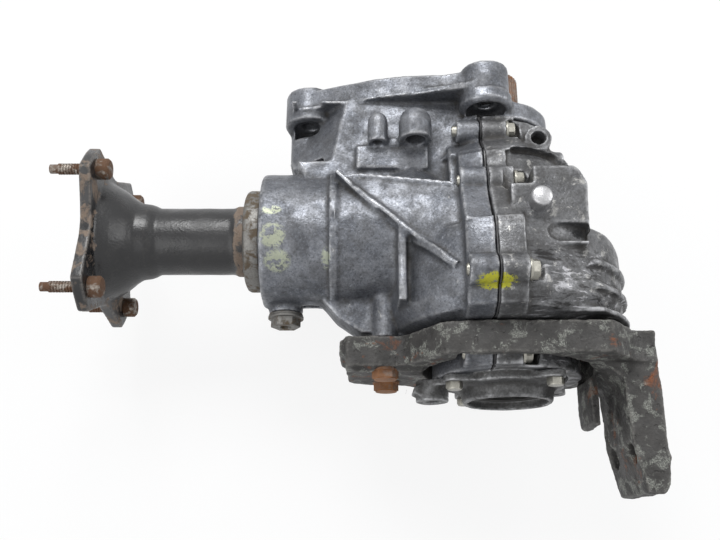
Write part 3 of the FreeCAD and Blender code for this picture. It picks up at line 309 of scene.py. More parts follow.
class CreviceShadeAndGrime(Effect):
    """Painted shade darkening hollows and inner corners, with noise patches of real dirt laid over it."""

    name = "crevice_shade_and_grime"
    inputs = (("Amount", 0.5), ("Scale", 60.0), ("Reach", 0.06))

    @classmethod
    def wire(cls, graph: Graph, given: Outputs) -> dict[str, Socket]:
        """See Effect.wire."""
        where = graph.here()
        # Painted shade: concave places found by pointiness are darkened, standing in for the shade in hollows
        hollow = graph.over(graph.less(0.5, graph.pointiness()), given["Reach"], clamp=True)
        # Real dirt: noise patches added to the painted shade in hollows
        cloud = graph.noise(where, given["Scale"], 6.0, 0.6)
        fine = graph.noise(where, graph.times(given["Scale"], 7.0), 3.0)
        cloud = graph.spread(graph.plus(cloud, graph.times(fine, 0.35)), 0.52, 0.86)
        both = graph.plus(hollow, graph.times(cloud, 0.55))
        return {"Mask": graph.times(both, given["Amount"], clamp=True)}


class EdgeWear(Effect):
    """Bright metal on outer corners, where handling and tools have rubbed it."""

    name = "edge_wear"
    inputs = (("Amount", 0.6), ("Reach", 0.05), ("Scale", 120.0))

    @classmethod
    def wire(cls, graph: Graph, given: Outputs) -> dict[str, Socket]:
        """See Effect.wire."""
        edge = graph.over(graph.less(graph.pointiness(), 0.505), given["Reach"], clamp=True)
        ragged = graph.spread(graph.noise(graph.here(), given["Scale"], 5.0, 0.65), 0.32, 0.62)
        return {"Mask": graph.times(graph.times(edge, ragged), given["Amount"], clamp=True)}


class CastSkin(Effect):
    """The fine pebbled skin of sand-cast and die-cast metal."""

    name = "cast_skin"
    inputs = (("Scale", 700.0), ("Pits", 0.5))
    outputs = ("Height", "Tone")

    @classmethod
    def wire(cls, graph: Graph, given: Outputs) -> dict[str, Socket]:
        """See Effect.wire."""
        where = graph.here()
        pebbles = graph.noise(where, given["Scale"], 3.0, 0.6)
        slow = graph.noise(where, graph.times(given["Scale"], 0.12), 4.0, 0.6)
        holes = graph.spread(graph.noise(where, graph.times(given["Scale"], 0.5), 2.0, 0.4), 0.62, 0.74)
        height = graph.less(graph.plus(pebbles, slow), graph.times(holes, given["Pits"]))
        return {"Height": height, "Tone": slow}


class RustPatches(Effect):
    """Patches of rust or white corrosion with ragged rims."""

    name = "rust_patches"
    inputs = (("Cover", 0.5), ("Scale", 45.0), ("Sharpness", 0.08))
    outputs = ("Mask", "Grain")

    @classmethod
    def wire(cls, graph: Graph, given: Outputs) -> dict[str, Socket]:
        """See Effect.wire."""
        where = graph.here()
        cloud = graph.noise(where, given["Scale"], 8.0, 0.68, 0.4)
        limit = graph.less(0.78, graph.times(given["Cover"], 0.5))
        mask = graph.over(graph.less(cloud, limit), given["Sharpness"], clamp=True)
        grain = graph.noise(where, graph.times(given["Scale"], 12.0), 4.0, 0.7)
        return {"Mask": mask, "Grain": grain}


class Finish:
    """A surface finish that becomes one material.

    Attributes:
        title: The material's name.
    """

    title = "finish"

    def material(self) -> bpy.types.Material:
        """The material, built when it is first asked for."""
        found = bpy.data.materials.get(self.title + "_finish")
        if found:
            return found
        made = bpy.data.materials.new(self.title + "_finish")
        graph = empty_graph(made)
        shader = graph.node("ShaderNodeBsdfPrincipled")
        for name, value in self.wire(graph).items():
            graph.feed(shader.inputs[name], value)
        graph.feed(graph.node("ShaderNodeOutputMaterial").inputs["Surface"], shader.outputs[0])
        return made

    def wire(self, graph: Graph) -> dict[str, Socket]:
        """Wires the finish, and returns a socket for each input of the shader that it sets."""
        raise NotImplementedError


@dataclass(frozen=True)
class Daub:
    """A brushed daub of old marking paint.

    Attributes:
        at: Its middle, in millimetres from the crossing of the gear lines.
        reach: Half its size along X, Y and Z, in metres.
        colour: Its colour.
        worn: The noise level under which the paint has flaked off.
        flakes: Flakes for each metre.
        fray: How ragged its rim is.
    """

    at: Triple
    reach: Triple
    colour: Colour
    worn: float = 0.40
    flakes: float = 260.0
    fray: float = 1.7

    def mask(self, graph: Graph) -> Socket:
        """The mask of where the paint is."""
        away = graph.vectors("SUBTRACT", graph.here(), tuple(place(*self.at)))
        far = graph.vectors("LENGTH", graph.vectors("DIVIDE", away[0], self.reach)[0])
        ragged = graph.noise(graph.here(), self.flakes, 5.0, 0.7)
        edge = graph.plus(far["Value"], graph.times(graph.less(ragged, 0.5), self.fray))
        near = graph.spread(edge, 0.72, 0.95, 1.0, 0.0)
        return graph.times(near, graph.spread(ragged, self.worn - 0.05, self.worn + 0.04), clamp=True)


@dataclass(frozen=True)
class CastAluminium(Finish):
    """Cast aluminium with road dirt, painted shade in its hollows, oxide bloom and rubbed edges.

    Attributes:
        clean: Colour of the clean metal.
        oxide: Colour where it has dulled.
        dirt_and_shade: Colour of the dirt, and of the painted shade in hollows.
        dirt_and_shade_amount: How dirty it is, and how dark the painted shade in its hollows is.
        shine: Metallic share.
        pits: Depth of the pits.
        chalk: How much white corrosion shows.
        polish: Lowest roughness of the clean metal.
        streaks: How strong the smears along X are below the seam's marking paint.
        daubs: The daubs of marking paint on it.
    """

    title: str = "cast_aluminium"
    clean: Colour = (0.235, 0.247, 0.275)
    oxide: Colour = (0.092, 0.099, 0.115)
    dirt_and_shade: Colour = (0.030, 0.028, 0.026)
    dirt_and_shade_amount: float = 0.75
    shine: float = 0.80
    pits: float = 0.5
    chalk: float = 0.25
    polish: float = 0.34
    streaks: float = 0.0
    daubs: tuple[Daub, ...] = ()

    def wire(self, graph: Graph) -> dict[str, Socket]:
        """See Finish.wire."""
        where = graph.here()
        skin = CastSkin.use(graph, scale=750.0, pits=self.pits)
        # Painted shade and dirt: one mask darkens hollows and inner corners as shade and adds noise patches
        # of dirt
        shade_and_grime = CreviceShadeAndGrime.use(graph, amount=self.dirt_and_shade_amount, scale=75.0, reach=0.05)
        wear = EdgeWear.use(graph, amount=0.8, reach=0.06, scale=190.0)
        chalk = RustPatches.use(graph, cover=self.chalk, scale=110.0, sharpness=0.06)
        tone = graph.spread(graph.noise(where, 44.0, 8.0, 0.72), 0.34, 0.66)
        colour = graph.mix(tone, self.oxide, self.clean)
        grit = graph.noise(where, 640.0, 3.0, 0.6)
        colour = graph.mix(graph.spread(grit, 0.53, 0.68, 0.0, 0.55), colour, scaled(self.oxide, 0.35))
        colour = graph.mix(graph.spread(grit, 0.45, 0.31, 0.0, 0.28), colour, scaled(self.clean, 1.6))
        colour = graph.mix(graph.spread(skin["Height"], 0.7, 1.3, 0.0, 0.35), colour, (0.10, 0.10, 0.10))
        colour = graph.mix(graph.times(chalk["Mask"], 0.5), colour, (0.62, 0.61, 0.58))
        # Painted shade in hollows plus dirt patches: the colour is pulled towards near black
        colour = graph.mix(shade_and_grime["Mask"], colour, self.dirt_and_shade)
        if self.streaks:
            colour = self.smear(graph, colour)
        colour = graph.mix(wear["Mask"], colour, (0.56, 0.565, 0.58))
        for daub in self.daubs:
            colour = graph.mix(daub.mask(graph), colour, daub.colour)
        dull = graph.plus(graph.times(shade_and_grime["Mask"], 0.35),
                          graph.spread(tone, 0.0, 1.0, self.polish + 0.12, self.polish))
        return {"Base Color": colour,
                "Roughness": graph.less(dull, graph.times(wear["Mask"], 0.12), clamp=True),
                "Metallic": graph.times(graph.less(1.0, shade_and_grime["Mask"]), self.shine),
                "Normal": graph.bump(skin["Height"], 0.00035, 0.8)}

    def smear(self, graph: Graph, colour: Socket) -> Socket:
        """Lays dark and pale smears along X over the colour of the bulge."""
        where = graph.here()
        across = graph.axes(where)
        here = graph.spread(across["Y"], (AXLE_Y - 29) * MM, (AXLE_Y - 36) * MM, 0.0, self.streaks)
        here = graph.times(here, graph.spread(across["X"], 0.0, 7 * MM))
        drawn = graph.vectors("MULTIPLY", where, (0.16, 1.0, 0.7))[0]
        lines = graph.noise(drawn, 210.0, 6.0, 0.62, 0.5)
        dark = graph.times(graph.spread(lines, 0.49, 0.40), here)
        pale = graph.times(graph.spread(lines, 0.57, 0.63), here)
        colour = graph.mix(dark, colour, (0.012, 0.011, 0.011))
        return graph.mix(graph.times(pale, 0.8), colour, (0.42, 0.42, 0.44))


@dataclass(frozen=True)
class CorrodedIron(Finish):
    """Cast iron or steel under a crust of old paint, oil and rust.

    Attributes:
        base: Colour of the crust.
        rust: Colour of the rust.
        pale: Colour of the pale bloom.
        cover: Share that rust covers.
        bloom: Share that the bloom covers.
        rough: Roughness of the crust.
        depth: Depth of the crust's relief in metres.
    """

    title: str = "corroded_iron"
    base: Colour = (0.035, 0.033, 0.030)
    rust: Colour = (0.12, 0.045, 0.018)
    pale: Colour = (0.26, 0.25, 0.22)
    cover: float = 0.30
    bloom: float = 0.42
    rough: float = 0.62
    depth: float = 0.0008

    def wire(self, graph: Graph) -> dict[str, Socket]:
        """See Finish.wire."""
        where = graph.here()
        skin = CastSkin.use(graph, scale=420.0, pits=0.9)
        rust = RustPatches.use(graph, cover=self.cover, scale=38.0, sharpness=0.10)
        bloom = RustPatches.use(graph, cover=self.bloom, scale=95.0, sharpness=0.05)
        wear = EdgeWear.use(graph, amount=0.55, reach=0.06, scale=220.0)
        colour = graph.mix(graph.spread(skin["Tone"], 0.35, 0.65), self.base, scaled(self.base, 2.1))
        bloomed = graph.times(bloom["Mask"], graph.spread(bloom["Grain"], 0.35, 0.7))
        colour = graph.mix(bloomed, colour, self.pale)
        reddish = graph.mix(rust["Grain"], self.rust, scaled(self.rust, 2.4))
        colour = graph.mix(rust["Mask"], colour, reddish)
        colour = graph.mix(wear["Mask"], colour, (0.30, 0.29, 0.27))
        slow = graph.spread(graph.noise(where, 55.0, 3.0), 0.3, 0.7, self.rough - 0.14, self.rough + 0.14)
        flakes = graph.times(rust["Grain"], graph.plus(rust["Mask"], 0.3))
        return {"Base Color": colour,
                "Roughness": graph.plus(slow, graph.times(rust["Mask"], 0.2), clamp=True),
                "Metallic": graph.times(wear["Mask"], 0.5),
                "Normal": graph.bump(graph.plus(skin["Height"], flakes), self.depth)}


@dataclass(frozen=True)
class TurnedSteel(Finish):
    """Turned or plated steel, from bright to dull, with stains.

    Attributes:
        colour: Colour of the clean metal.
        stain: Colour of the stains.
        stained: Share that the stains cover.
        roughness: Roughness of the clean metal.
        shine: Metallic share.
    """

    title: str = "zinc_steel"
    colour: Colour = (0.46, 0.45, 0.42)
    stain: Colour = (0.10, 0.075, 0.05)
    stained: float = 0.35
    roughness: float = 0.34
    shine: float = 0.85

    def wire(self, graph: Graph) -> dict[str, Socket]:
        """See Finish.wire."""
        where = graph.here()
        stains = RustPatches.use(graph, cover=self.stained, scale=130.0, sharpness=0.09)
        marks = graph.noise(where, 900.0, 3.0, 0.6)
        colour = graph.mix(graph.spread(marks, 0.3, 0.75, 0.0, 0.5), self.colour, scaled(self.colour, 0.62))
        dull = graph.spread(marks, 0.2, 0.8, self.roughness - 0.07, self.roughness + 0.1)
        return {"Base Color": graph.mix(stains["Mask"], colour, self.stain),
                "Roughness": graph.plus(dull, graph.times(stains["Mask"], 0.35), clamp=True),
                "Metallic": graph.times(graph.less(1.0, stains["Mask"]), self.shine),
                "Normal": graph.bump(graph.plus(marks, stains["Grain"]), 0.00012)}


@dataclass(frozen=True)
class BlackEnamel(Finish):
    """Thin black enamel on steel, worn through to rust on rims and in spots.

    Attributes:
        paint: Colour of the enamel.
        rust: Colour of the rust.
        plate_x: Where the flange's plate ends and the rust fades, in metres along X.
        root_x: Where the neck's root starts and the rust is full, in metres along X.
    """

    title: str = "black_enamel"
    paint: Colour = (0.012, 0.012, 0.013)
    rust: Colour = (0.095, 0.050, 0.028)
    plate_x: Pair = (-0.2905, -0.2845)
    root_x: Pair = (-0.1975, -0.1935)

    def wire(self, graph: Graph) -> dict[str, Socket]:
        """See Finish.wire."""
        where = graph.here()
        along = graph.axes(where)["X"]
        at_plate = graph.times(graph.spread(along, *self.plate_x, 1.0, 0.0), 0.42)
        at_root = graph.times(graph.spread(along, *self.root_x), 0.62)
        cover = graph.plus(graph.plus(at_plate, at_root), 0.12)
        rust = RustPatches.use(graph, cover=cover, scale=75.0, sharpness=0.07)
        wear = EdgeWear.use(graph, amount=0.7, reach=0.05, scale=260.0)
        dust = graph.spread(graph.noise(where, 120.0, 6.0, 0.7), 0.5, 0.8, 0.0, 0.35)
        colour = graph.mix(dust, self.paint, (0.055, 0.052, 0.050))
        reddish = graph.mix(rust["Grain"], self.rust, (0.24, 0.20, 0.16))
        colour = graph.mix(rust["Mask"], colour, reddish)
        colour = graph.mix(wear["Mask"], colour, (0.22, 0.20, 0.18))
        gloss = graph.spread(graph.noise(where, 40.0, 4.0), 0.3, 0.7, 0.24, 0.42)
        flakes = graph.times(rust["Grain"], rust["Mask"])
        return {"Base Color": colour,
                "Roughness": graph.plus(gloss, graph.times(rust["Mask"], 0.4), clamp=True),
                "Normal": graph.bump(graph.plus(graph.noise(where, 600.0, 3.0), flakes), 0.0002)}


@dataclass(frozen=True)
class OilyRubber(Finish):
    """Black rubber of seals, oily and a little dusty.

    Attributes:
        colour: Colour of the rubber.
    """

    title: str = "seal_rubber"
    colour: Colour = (0.012, 0.011, 0.010)

    def wire(self, graph: Graph) -> dict[str, Socket]:
        """See Finish.wire."""
        where = graph.here()
        dust = graph.spread(graph.noise(where, 180.0, 5.0, 0.7), 0.5, 0.75, 0.0, 0.5)
        return {"Base Color": graph.mix(dust, self.colour, (0.06, 0.05, 0.04)),
                "Roughness": graph.spread(graph.noise(where, 90.0, 3.0), 0.3, 0.7, 0.3, 0.62),
                "Normal": graph.bump(graph.noise(where, 800.0, 3.0), 0.0001)}


SEAM_MARK = Daub((-19.0, -60.5, 91.0), (0.0140, 0.0056, 0.012), (0.40, 0.39, 0.03), worn=0.42)
NOSE_PAINT = (
    Daub((-164.0, -13.0, 47.0), (0.0105, 0.010, 0.014), (0.31, 0.33, 0.25), worn=0.46, flakes=150.0),
    Daub((-161.0, -29.0, 40.0), (0.0110, 0.009, 0.014), (0.29, 0.31, 0.24), worn=0.47, flakes=150.0),
    Daub((-165.0, 5.0, 50.0), (0.0080, 0.004, 0.012), (0.30, 0.32, 0.24), worn=0.46, flakes=170.0),
    Daub((-127.0, -28.0, 42.0), (0.0040, 0.009, 0.012), (0.27, 0.29, 0.23), worn=0.48, flakes=190.0),
)
CASE_METAL = CastAluminium(daubs=(SEAM_MARK, *NOSE_PAINT))
COVER_METAL = CastAluminium(title="cover_aluminium", clean=(0.175, 0.178, 0.186), oxide=(0.066, 0.067, 0.071),
                            dirt_and_shade_amount=0.95, chalk=0.40, shine=0.7, streaks=0.9, daubs=(SEAM_MARK,))
# Painted shade: the retainer is the case's cast aluminium made darker all over, with the darkest hollow shade
# and most dirt
SHADED_RETAINER_METAL = CastAluminium(title="shaded_retainer_aluminium", clean=(0.17, 0.172, 0.175),
                               oxide=(0.07, 0.07, 0.07), dirt_and_shade_amount=1.0, chalk=0.3)
BRACKET_METAL = CorrodedIron(base=(0.020, 0.019, 0.018), rust=(0.13, 0.045, 0.018), pale=(0.27, 0.28, 0.25),
                             cover=0.38, bloom=0.50)
RUSTY_STEEL = CorrodedIron(title="rusty_steel", base=(0.10, 0.045, 0.020), rust=(0.17, 0.075, 0.030),
                           pale=(0.22, 0.14, 0.09), cover=0.75, bloom=0.25, rough=0.72, depth=0.0004)
CARRIER_IRON = CorrodedIron(title="carrier_iron", base=(0.06, 0.058, 0.055), cover=0.06, bloom=0.1,
                            rough=0.45, depth=0.0003)
FLANGE_PAINT = BlackEnamel()
SHIELD_METAL = TurnedSteel(title="shield_steel", colour=(0.20, 0.195, 0.185), stained=0.6, roughness=0.50)
ZINC = TurnedSteel(colour=(0.36, 0.35, 0.31))
STUD_STEEL = TurnedSteel(title="stud_steel", colour=(0.27, 0.24, 0.21), stain=(0.10, 0.05, 0.025),
                         stained=0.75, roughness=0.45)
BRIGHT_CAP = TurnedSteel(title="bright_cap", colour=(0.46, 0.46, 0.47), stained=0.12)
GEAR_STEEL = TurnedSteel(title="gear_steel", colour=(0.42, 0.42, 0.43), stain=(0.16, 0.12, 0.07), stained=0.2,
                         roughness=0.28)
BEARING_STEEL = TurnedSteel(title="bearing_steel", colour=(0.60, 0.60, 0.62), stained=0.08, roughness=0.18)
SEAL_RUBBER = OilyRubber()
SEALANT = OilyRubber(title="sealant", colour=(0.03, 0.03, 0.032))

# The finish of each CAD node that isn't remade as a casting
DRESSING: dict[Finish, tuple[str, ...]] = {
    SEALANT: ("cover_gasket",),
    SEAL_RUBBER: ("pinion_seal", "left_output_seal", "right_output_seal"),
    BEARING_STEEL: ("pinion_head_bearing_cup", "pinion_tail_bearing_cup", "pinion_head_bearing_cone",
                    "pinion_tail_bearing_cone", "left_side_bearing_cup", "right_side_bearing_cup",
                    "left_side_bearing_cone", "right_side_bearing_cone", "spider_washers",
                    "side_gear_washers"),
    GEAR_STEEL: ("pinion_spacer", "pinion_shim", "left_side_shim", "right_side_shim", "pinion_shaft",
                 "ring_gear", "ring_gear_bolts", "cross_pin", "cross_pin_lock", "upper_spider_gear",
                 "lower_spider_gear", "left_side_gear", "right_side_gear", "left_output_clip"),
    CARRIER_IRON: ("differential_case",),
    ZINC: ("cover_bolts", "pinion_nut", "retainer_bolts", "breather_stem", "filler_plug",
           "filler_plug_washer", "drain_plug", "drain_plug_washer"),
    BRIGHT_CAP: ("breather_cap",),
    RUSTY_STEEL: ("left_output_shaft", "bracket_bolts"),
    STUD_STEEL: ("flange_studs",),
    SHIELD_METAL: ("dust_shield",),
}


def dress(thing: Object, finish: Finish) -> None:
    """Gives an object one finish all over."""
    thing.data.materials.clear()
    thing.data.materials.append(finish.material())


def shade(mesh: Mesh, angle: float) -> None:
    """Shades a mesh smooth, with edges sharper than an angle in degrees left crisp."""
    mesh.shade_smooth()
    mesh.set_sharp_from_angle(angle=math.radians(angle))


def new_object(name: str, data: bpy.types.ID) -> Object:
    """A new object in the scene."""
    thing = bpy.data.objects.new(name, data)
    bpy.context.scene.collection.objects.link(thing)
    return thing


def modify(thing: Object, kind: str, **settings: object) -> None:
    """Puts a modifier on an object and sets its properties."""
    made = thing.modifiers.new(kind.lower(), kind)
    for name, value in settings.items():
        setattr(made, name, value)


def worked(thing: Object) -> Mesh:
    """The mesh that an object's modifiers make."""
    graph = bpy.context.evaluated_depsgraph_get()
    return bpy.data.meshes.new_from_object(thing.evaluated_get(graph))


class Way(Enum):
    """What a form does to the casting that it meets."""

    ADD = "UNION"
    CUT = "DIFFERENCE"


Step = tuple[Way, Mesh]


def add(form: Mesh) -> Step:
    """The step that adds a form."""
    return Way.ADD, form


def cut(form: Mesh) -> Step:
    """The step that cuts a form away."""
    return Way.CUT, form


def section(axis: str, along: float, outline: list[Pair]) -> list[Vector]:
    """The corners of an outline at a distance along an axis, in millimetres."""
    order = {"X": (2, 0, 1), "Y": (0, 2, 1), "Z": (0, 1, 2)}[axis]
    return [place(*((u, v, along)[k] for k in order)) for u, v in outline]


def closed(sections: list[list[Vector]], looped: bool = False) -> Mesh:
    """A closed mesh through a row of outlines that have the same number of points.

    Args:
        sections: The outlines, in order.
        looped: Whether the last outline joins the first, in place of a face at each end.
    """
    form = bmesh.new()
    rings = [[form.verts.new(point) for point in section] for section in sections]
    if looped:
        rings.append(rings[0])
    else:
        form.faces.new(rings[0])
        form.faces.new(list(reversed(rings[-1])))
    for low, high in zip(rings, rings[1:]):
        for k in range(len(low)):
            form.faces.new((low[k - 1], low[k], high[k], high[k - 1]))
    bmesh.ops.recalc_face_normals(form, faces=form.faces)
    mesh = bpy.data.meshes.new("form")
    form.to_mesh(mesh)
    form.free()
    return mesh


def prism(axis: str, outline: list[Pair], start: float, end: float) -> Mesh:
    """A straight form with an outline, between two distances along an axis, in millimetres."""
    return closed([section(axis, start, outline), section(axis, end, outline)])


def block(low: Pair, high: Pair, start: float, end: float) -> Mesh:
    """An upright block between two corners of its plan, from one height to another, in millimetres."""
    return prism("Z", [low, (high[0], low[1]), high, (low[0], high[1])], start, end)


def turned(axis: str, profile: list[Pair], at: Pair = (0.0, 0.0), points: int = 64,
           looped: bool = False) -> Mesh:
    """A round form from its profile, in millimetres.

    Args:
        axis: The axis that it turns about.
        profile: Distance along the axis and radius, for each ring.
        at: Where the axis lies across.
        points: Points of each ring.
        looped: Whether the profile is closed, so that the form is a ring.
    """
    turns = [2 * math.pi * k / points for k in range(points)]
    rings = [section(axis, along, [(at[0] + r * math.cos(t), at[1] + r * math.sin(t)) for t in turns])
             for along, r in profile]
    return closed(rings, looped)


def fin(path: list[Triple], thickness: float, foot: float) -> Mesh:
    """An upright rib along a path, in millimetres.

    Args:
        path: Points of the middle of its top edge.
        thickness: Its thickness.
        foot: The height of its lower edge.
    """
    run = Vector((path[-1][0] - path[0][0], path[-1][1] - path[0][1]))
    side = Vector((-run.y, run.x)).normalized() * thickness / 2
    sections = []
    for x, y, top in path:
        across = ((1.0, foot), (0.7, top), (-0.7, top), (-1.0, foot))
        sections.append([place(x + side.x * share, y + side.y * share, z) for share, z in across])
    return closed(sections)


def arc(r: float, start: float, end: float) -> list[Pair]:
    """Twelve points of a circle about the middle, between two angles in degrees."""
    turns = [math.radians(start + (end - start) * k / 11) for k in range(12)]
    return [(r * math.cos(t), r * math.sin(t)) for t in turns]


@dataclass(frozen=True)
class WingForms:
    """What the upper wing shows from above: its rail, its bolt bosses and its pads, in millimetres.

    Attributes:
        deck: Height of the wing's flat top.
        rail: Where the upper rail starts and ends along Y.
        left_boss: Place of the left bolt boss across the rail.
        right_boss: Place of the right bolt boss across the rail.
        hole_r: Radius of the bolt hole in both bosses.
        pads: Place, radius, bore radius and end of each round pad boss.
        pad_front: Where the round pads start along Y.
    """

    deck: float = 35.0
    rail: Pair = (98.6, 116.0)
    left_boss: Pair = (-142.0, 3.6)
    right_boss: Pair = (-11.0, 41.7)
    hole_r: float = 6.5
    pads: tuple[tuple[Pair, float, float, float], ...] = (
        ((-90.6, 42.5), 7.5, 3.4, 78.0), ((-63.5, 46.5), 12.0, 7.0, 75.0))
    pad_front: float = 60.0

    def steps(self) -> list[Step]:
        """The forms, in the order in which they are worked."""
        above = self.deck + 0.05
        left_x, left_z = self.left_boss
        right_x, right_z = self.right_boss
        hole = self.hole_r
        over_right_wall = [(21, 42.5), (46, 41), (50, 45), (56, 40), (62, above), (86, above), (86, 62),
                           (21, 62)]
        over_left_wall = [(21, 47.2), (27, 43.9), (32, 40.4), (37.8, above), (61, above), (61, 62), (21, 62)]
        left_web = [(-154.9, -20), (-112, 22), (-112, 34.9), (-154.9, 34.9)]
        over_slope = [section("Y", 50.5, [(-160, 4), (-124, 35.1), (-124, 62), (-160, 62)]),
                      section("Y", 98.5, [(-160, -20), (-114, 35.1), (-114, 62), (-160, 62)])]
        rail = [(left_x - 6, left_z + 17), (-92, 40.5), (-70, 45.0), (-50, 46.0), (right_x - 6, 45.5),
                (right_x, right_z - 12), (left_x, left_z - 14)]
        column = [(54, 12), (58, 15), (66, 17), (94, 17)]
        made = [cut(block((-106, 70), (-38, 98.5), above, 62)),
                cut(prism("X", over_right_wall, -41, -34)),
                cut(prism("X", over_left_wall, -109, -102)),
                add(prism("Y", left_web, 56, 97)),
                cut(closed(over_slope)),
                add(prism("Y", rail, *self.rail)),
                add(turned("Y", [(self.rail[0] - 6, 19.5), (119.4, 19.5)], self.left_boss)),
                add(turned("Y", column, (left_x + 1, left_z - 12))),
                cut(turned("Y", [(85, 12.6), (94.5, 12.2)], self.left_boss)),
                cut(turned("Y", [(93, hole), (125, hole)], self.left_boss)),
                add(turned("Y", [(86, 16), (89, 19.5), (97, 19.5)], self.right_boss)),
                cut(turned("Y", [(85, 14.5), (92, 13.5)], self.right_boss)),
                cut(turned("Y", [(90, hole), (125, hole)], self.right_boss)),
                add(block((-106.5, 42.5), (-54, 61), 28, self.deck + 3.5))]
        for at, r, _, end in self.pads:
            pad = [(self.pad_front, r), (end, r), (end + r * 0.5, r * 0.85), (end + r * 0.85, r * 0.45)]
            made.append(add(turned("Y", pad, at)))
        made.append(add(block((-90, 60), (-66, 66), 30, self.deck + 6)))
        for at, _, bore, end in self.pads:
            made.append(cut(turned("Y", [(self.pad_front - 1, bore), (end, bore)], at)))
        return made


@dataclass(frozen=True)
class BarrelForms:
    """The ribs, the panel and the web of the pinion barrel, and the filler stub, in millimetres.

    Attributes:
        stub_at: Place of the filler stub across Y.
        stub_r: Its radius.
        stub_face: Its face along Y.
        old_stub_x: Where the CAD model's own stub starts and ends along X.
    """

    stub_at: Pair = (-158.0, -8.0)
    stub_r: float = 12.5
    stub_face: float = -54.5
    old_stub_x: Pair = (-163.0, -125.2)

    def steps(self) -> list[Step]:
        """The forms, in the order in which they are worked."""
        old_start, old_end = self.old_stub_x
        beside_nose = arc(50.3, 164, 218) + [(-68, -32), (-68, 14)]
        beside_collar = arc(53.2, 164, 218) + [(-68, -33), (-68, 15)]
        over_first_rib = [(-4, 51.6), (0, 51.8), (4, 51.6), (4, 60), (-4, 60)]
        over_second_rib = [(-7, 53.2), (0, 53.6), (8, 53.0), (16, 51.0), (24, 47.8), (30, 44.8), (30, 62),
                           (-7, 62)]
        stub = [(self.stub_face, self.stub_r - 0.8), (self.stub_face + 1, self.stub_r), (-48, self.stub_r),
                (-36, self.stub_r + 4)]
        web = [(-128, -20), (-130, -50), (-120, -62), (-103, -73.5), (-60, -76.5), (-20, -60), (-40, -20)]
        diagonal = [(-121, 34, 48), (-108, 22, 52), (-96, 11, 54.5), (-84, 0, 57), (-72, -12, 59.5),
                    (-62, -22, 63), (-54, -30, 69.5), (-41, -44, 77)]
        upright = [(-75, -10, 58), (-75, -30, 56), (-75, -48, 50), (-75, -62, 42)]
        upper = [(-122, 35, 43), (-100, 33, 47.5), (-70, 27, 54), (-38, 21, 60)]
        return [cut(prism("X", beside_nose, old_start, old_end)),
                cut(prism("X", beside_collar, old_end, -119)),
                cut(prism("X", over_first_rib, -120.4, -83)),
                cut(prism("X", over_second_rib, -79, -71)),
                add(turned("Y", stub, self.stub_at)),
                add(prism("Z", web, -14, 14)),
                add(fin(diagonal, 5.0, 20)),
                add(fin(upright, 5.0, 10)),
                add(fin(upper, 4.0, 20)),
                add(self.panel()),
                add(prism("X", SEAM_FILL, SPLIT_X - 19, SPLIT_X - 0.4)),
                cut(turned("Y", GEAR_ROOM)),
                cut(turned("X", PINION_ROOM))]

    @staticmethod
    def panel() -> Mesh:
        """The smooth panel between the upper rib and the diagonal one, from its edges at six stations."""
        stations = [(-118, 34.8, 40.5, 31.0, 45.0), (-104, 33.5, 43.5, 19, 49.0), (-84, 30.5, 48.8, 0, 54.0),
                    (-70, 27, 51.8, -13.7, 57.2), (-55, 24, 54.8, -29, 65.0), (-36, 20.6, 58.4, -48, 76)]
        bulge = 1.6
        return closed([[place(x, y0, 20),
                        place(x, y0, z0),
                        place(x, (2 * y0 + y1) / 3, (2 * z0 + z1) / 3 + bulge),
                        place(x, (y0 + 2 * y1) / 3, (z0 + 2 * z1) / 3 + bulge),
                        place(x, y1, z1),
                        place(x, y1, 20)] for x, y0, z0, y1, z1 in stations])


@dataclass(frozen=True)
class CoverForms:
    """The breather platform and the filled seam of the front cover, in millimetres.

    Attributes:
        top: Height of the platform.
        plan: The platform's outline.
        notch_y: Middle of its open slot along Y.
        notch_r: Half the slot's width.
        shell_r: Radius of the cover's shell beside it.
        slot_floor_r: Distance of the slot's floor from the axle line.
    """

    top: float = 80.0
    plan: tuple[Pair, ...] = (
        (-4.0, 24.5), (39.0, 24.5), (42.0, 22.5), (46.7, 13.5), (47.2, 11.0), (45.9, -13.5), (45.2, -31.5),
        (-4.0, -31.5))
    notch_y: float = -23.0
    notch_r: float = 6.0
    shell_r: float = 57.8
    slot_floor_r: float = 81.3

    def steps(self) -> list[Step]:
        """The forms, in the order in which they are worked."""
        beside = arc(self.shell_r, 92.5, 31) + [(66, 30), (66, 64), (-2.5, 64)]
        slot = [(45.4, self.notch_y - self.notch_r), (45.4, self.notch_y + self.notch_r)]
        slot += [(24 + u, self.notch_y + v) for u, v in arc(self.notch_r, 90, 270)]
        floor = [place(x, y, math.sqrt(self.slot_floor_r ** 2 - x * x)) for x, y in slot]
        lid = [place(x, y, self.top + 9) for x, y in slot]
        shrink = (self.shell_r - 3.0) / self.shell_r
        shell = [section("Y", 24.7, beside),
                 section("Y", 47.0, [(u * shrink, v * shrink) for u, v in beside])]
        return [cut(closed(shell)),
                add(prism("X", SEAM_FILL, SPLIT_X + 0.4, SPLIT_X + 19)),
                cut(block((47, -10.5), (70, 46), 33, 64)),
                add(prism("Z", list(self.plan), 45, self.top)),
                cut(turned("Y", GEAR_ROOM)),
                cut(block((-6, 12), (11.5, 31), 66, self.top + 6)),
                cut(block((2, 12.5), (11.5, 31), 52, self.top + 6)),
                cut(closed([floor, lid]))]


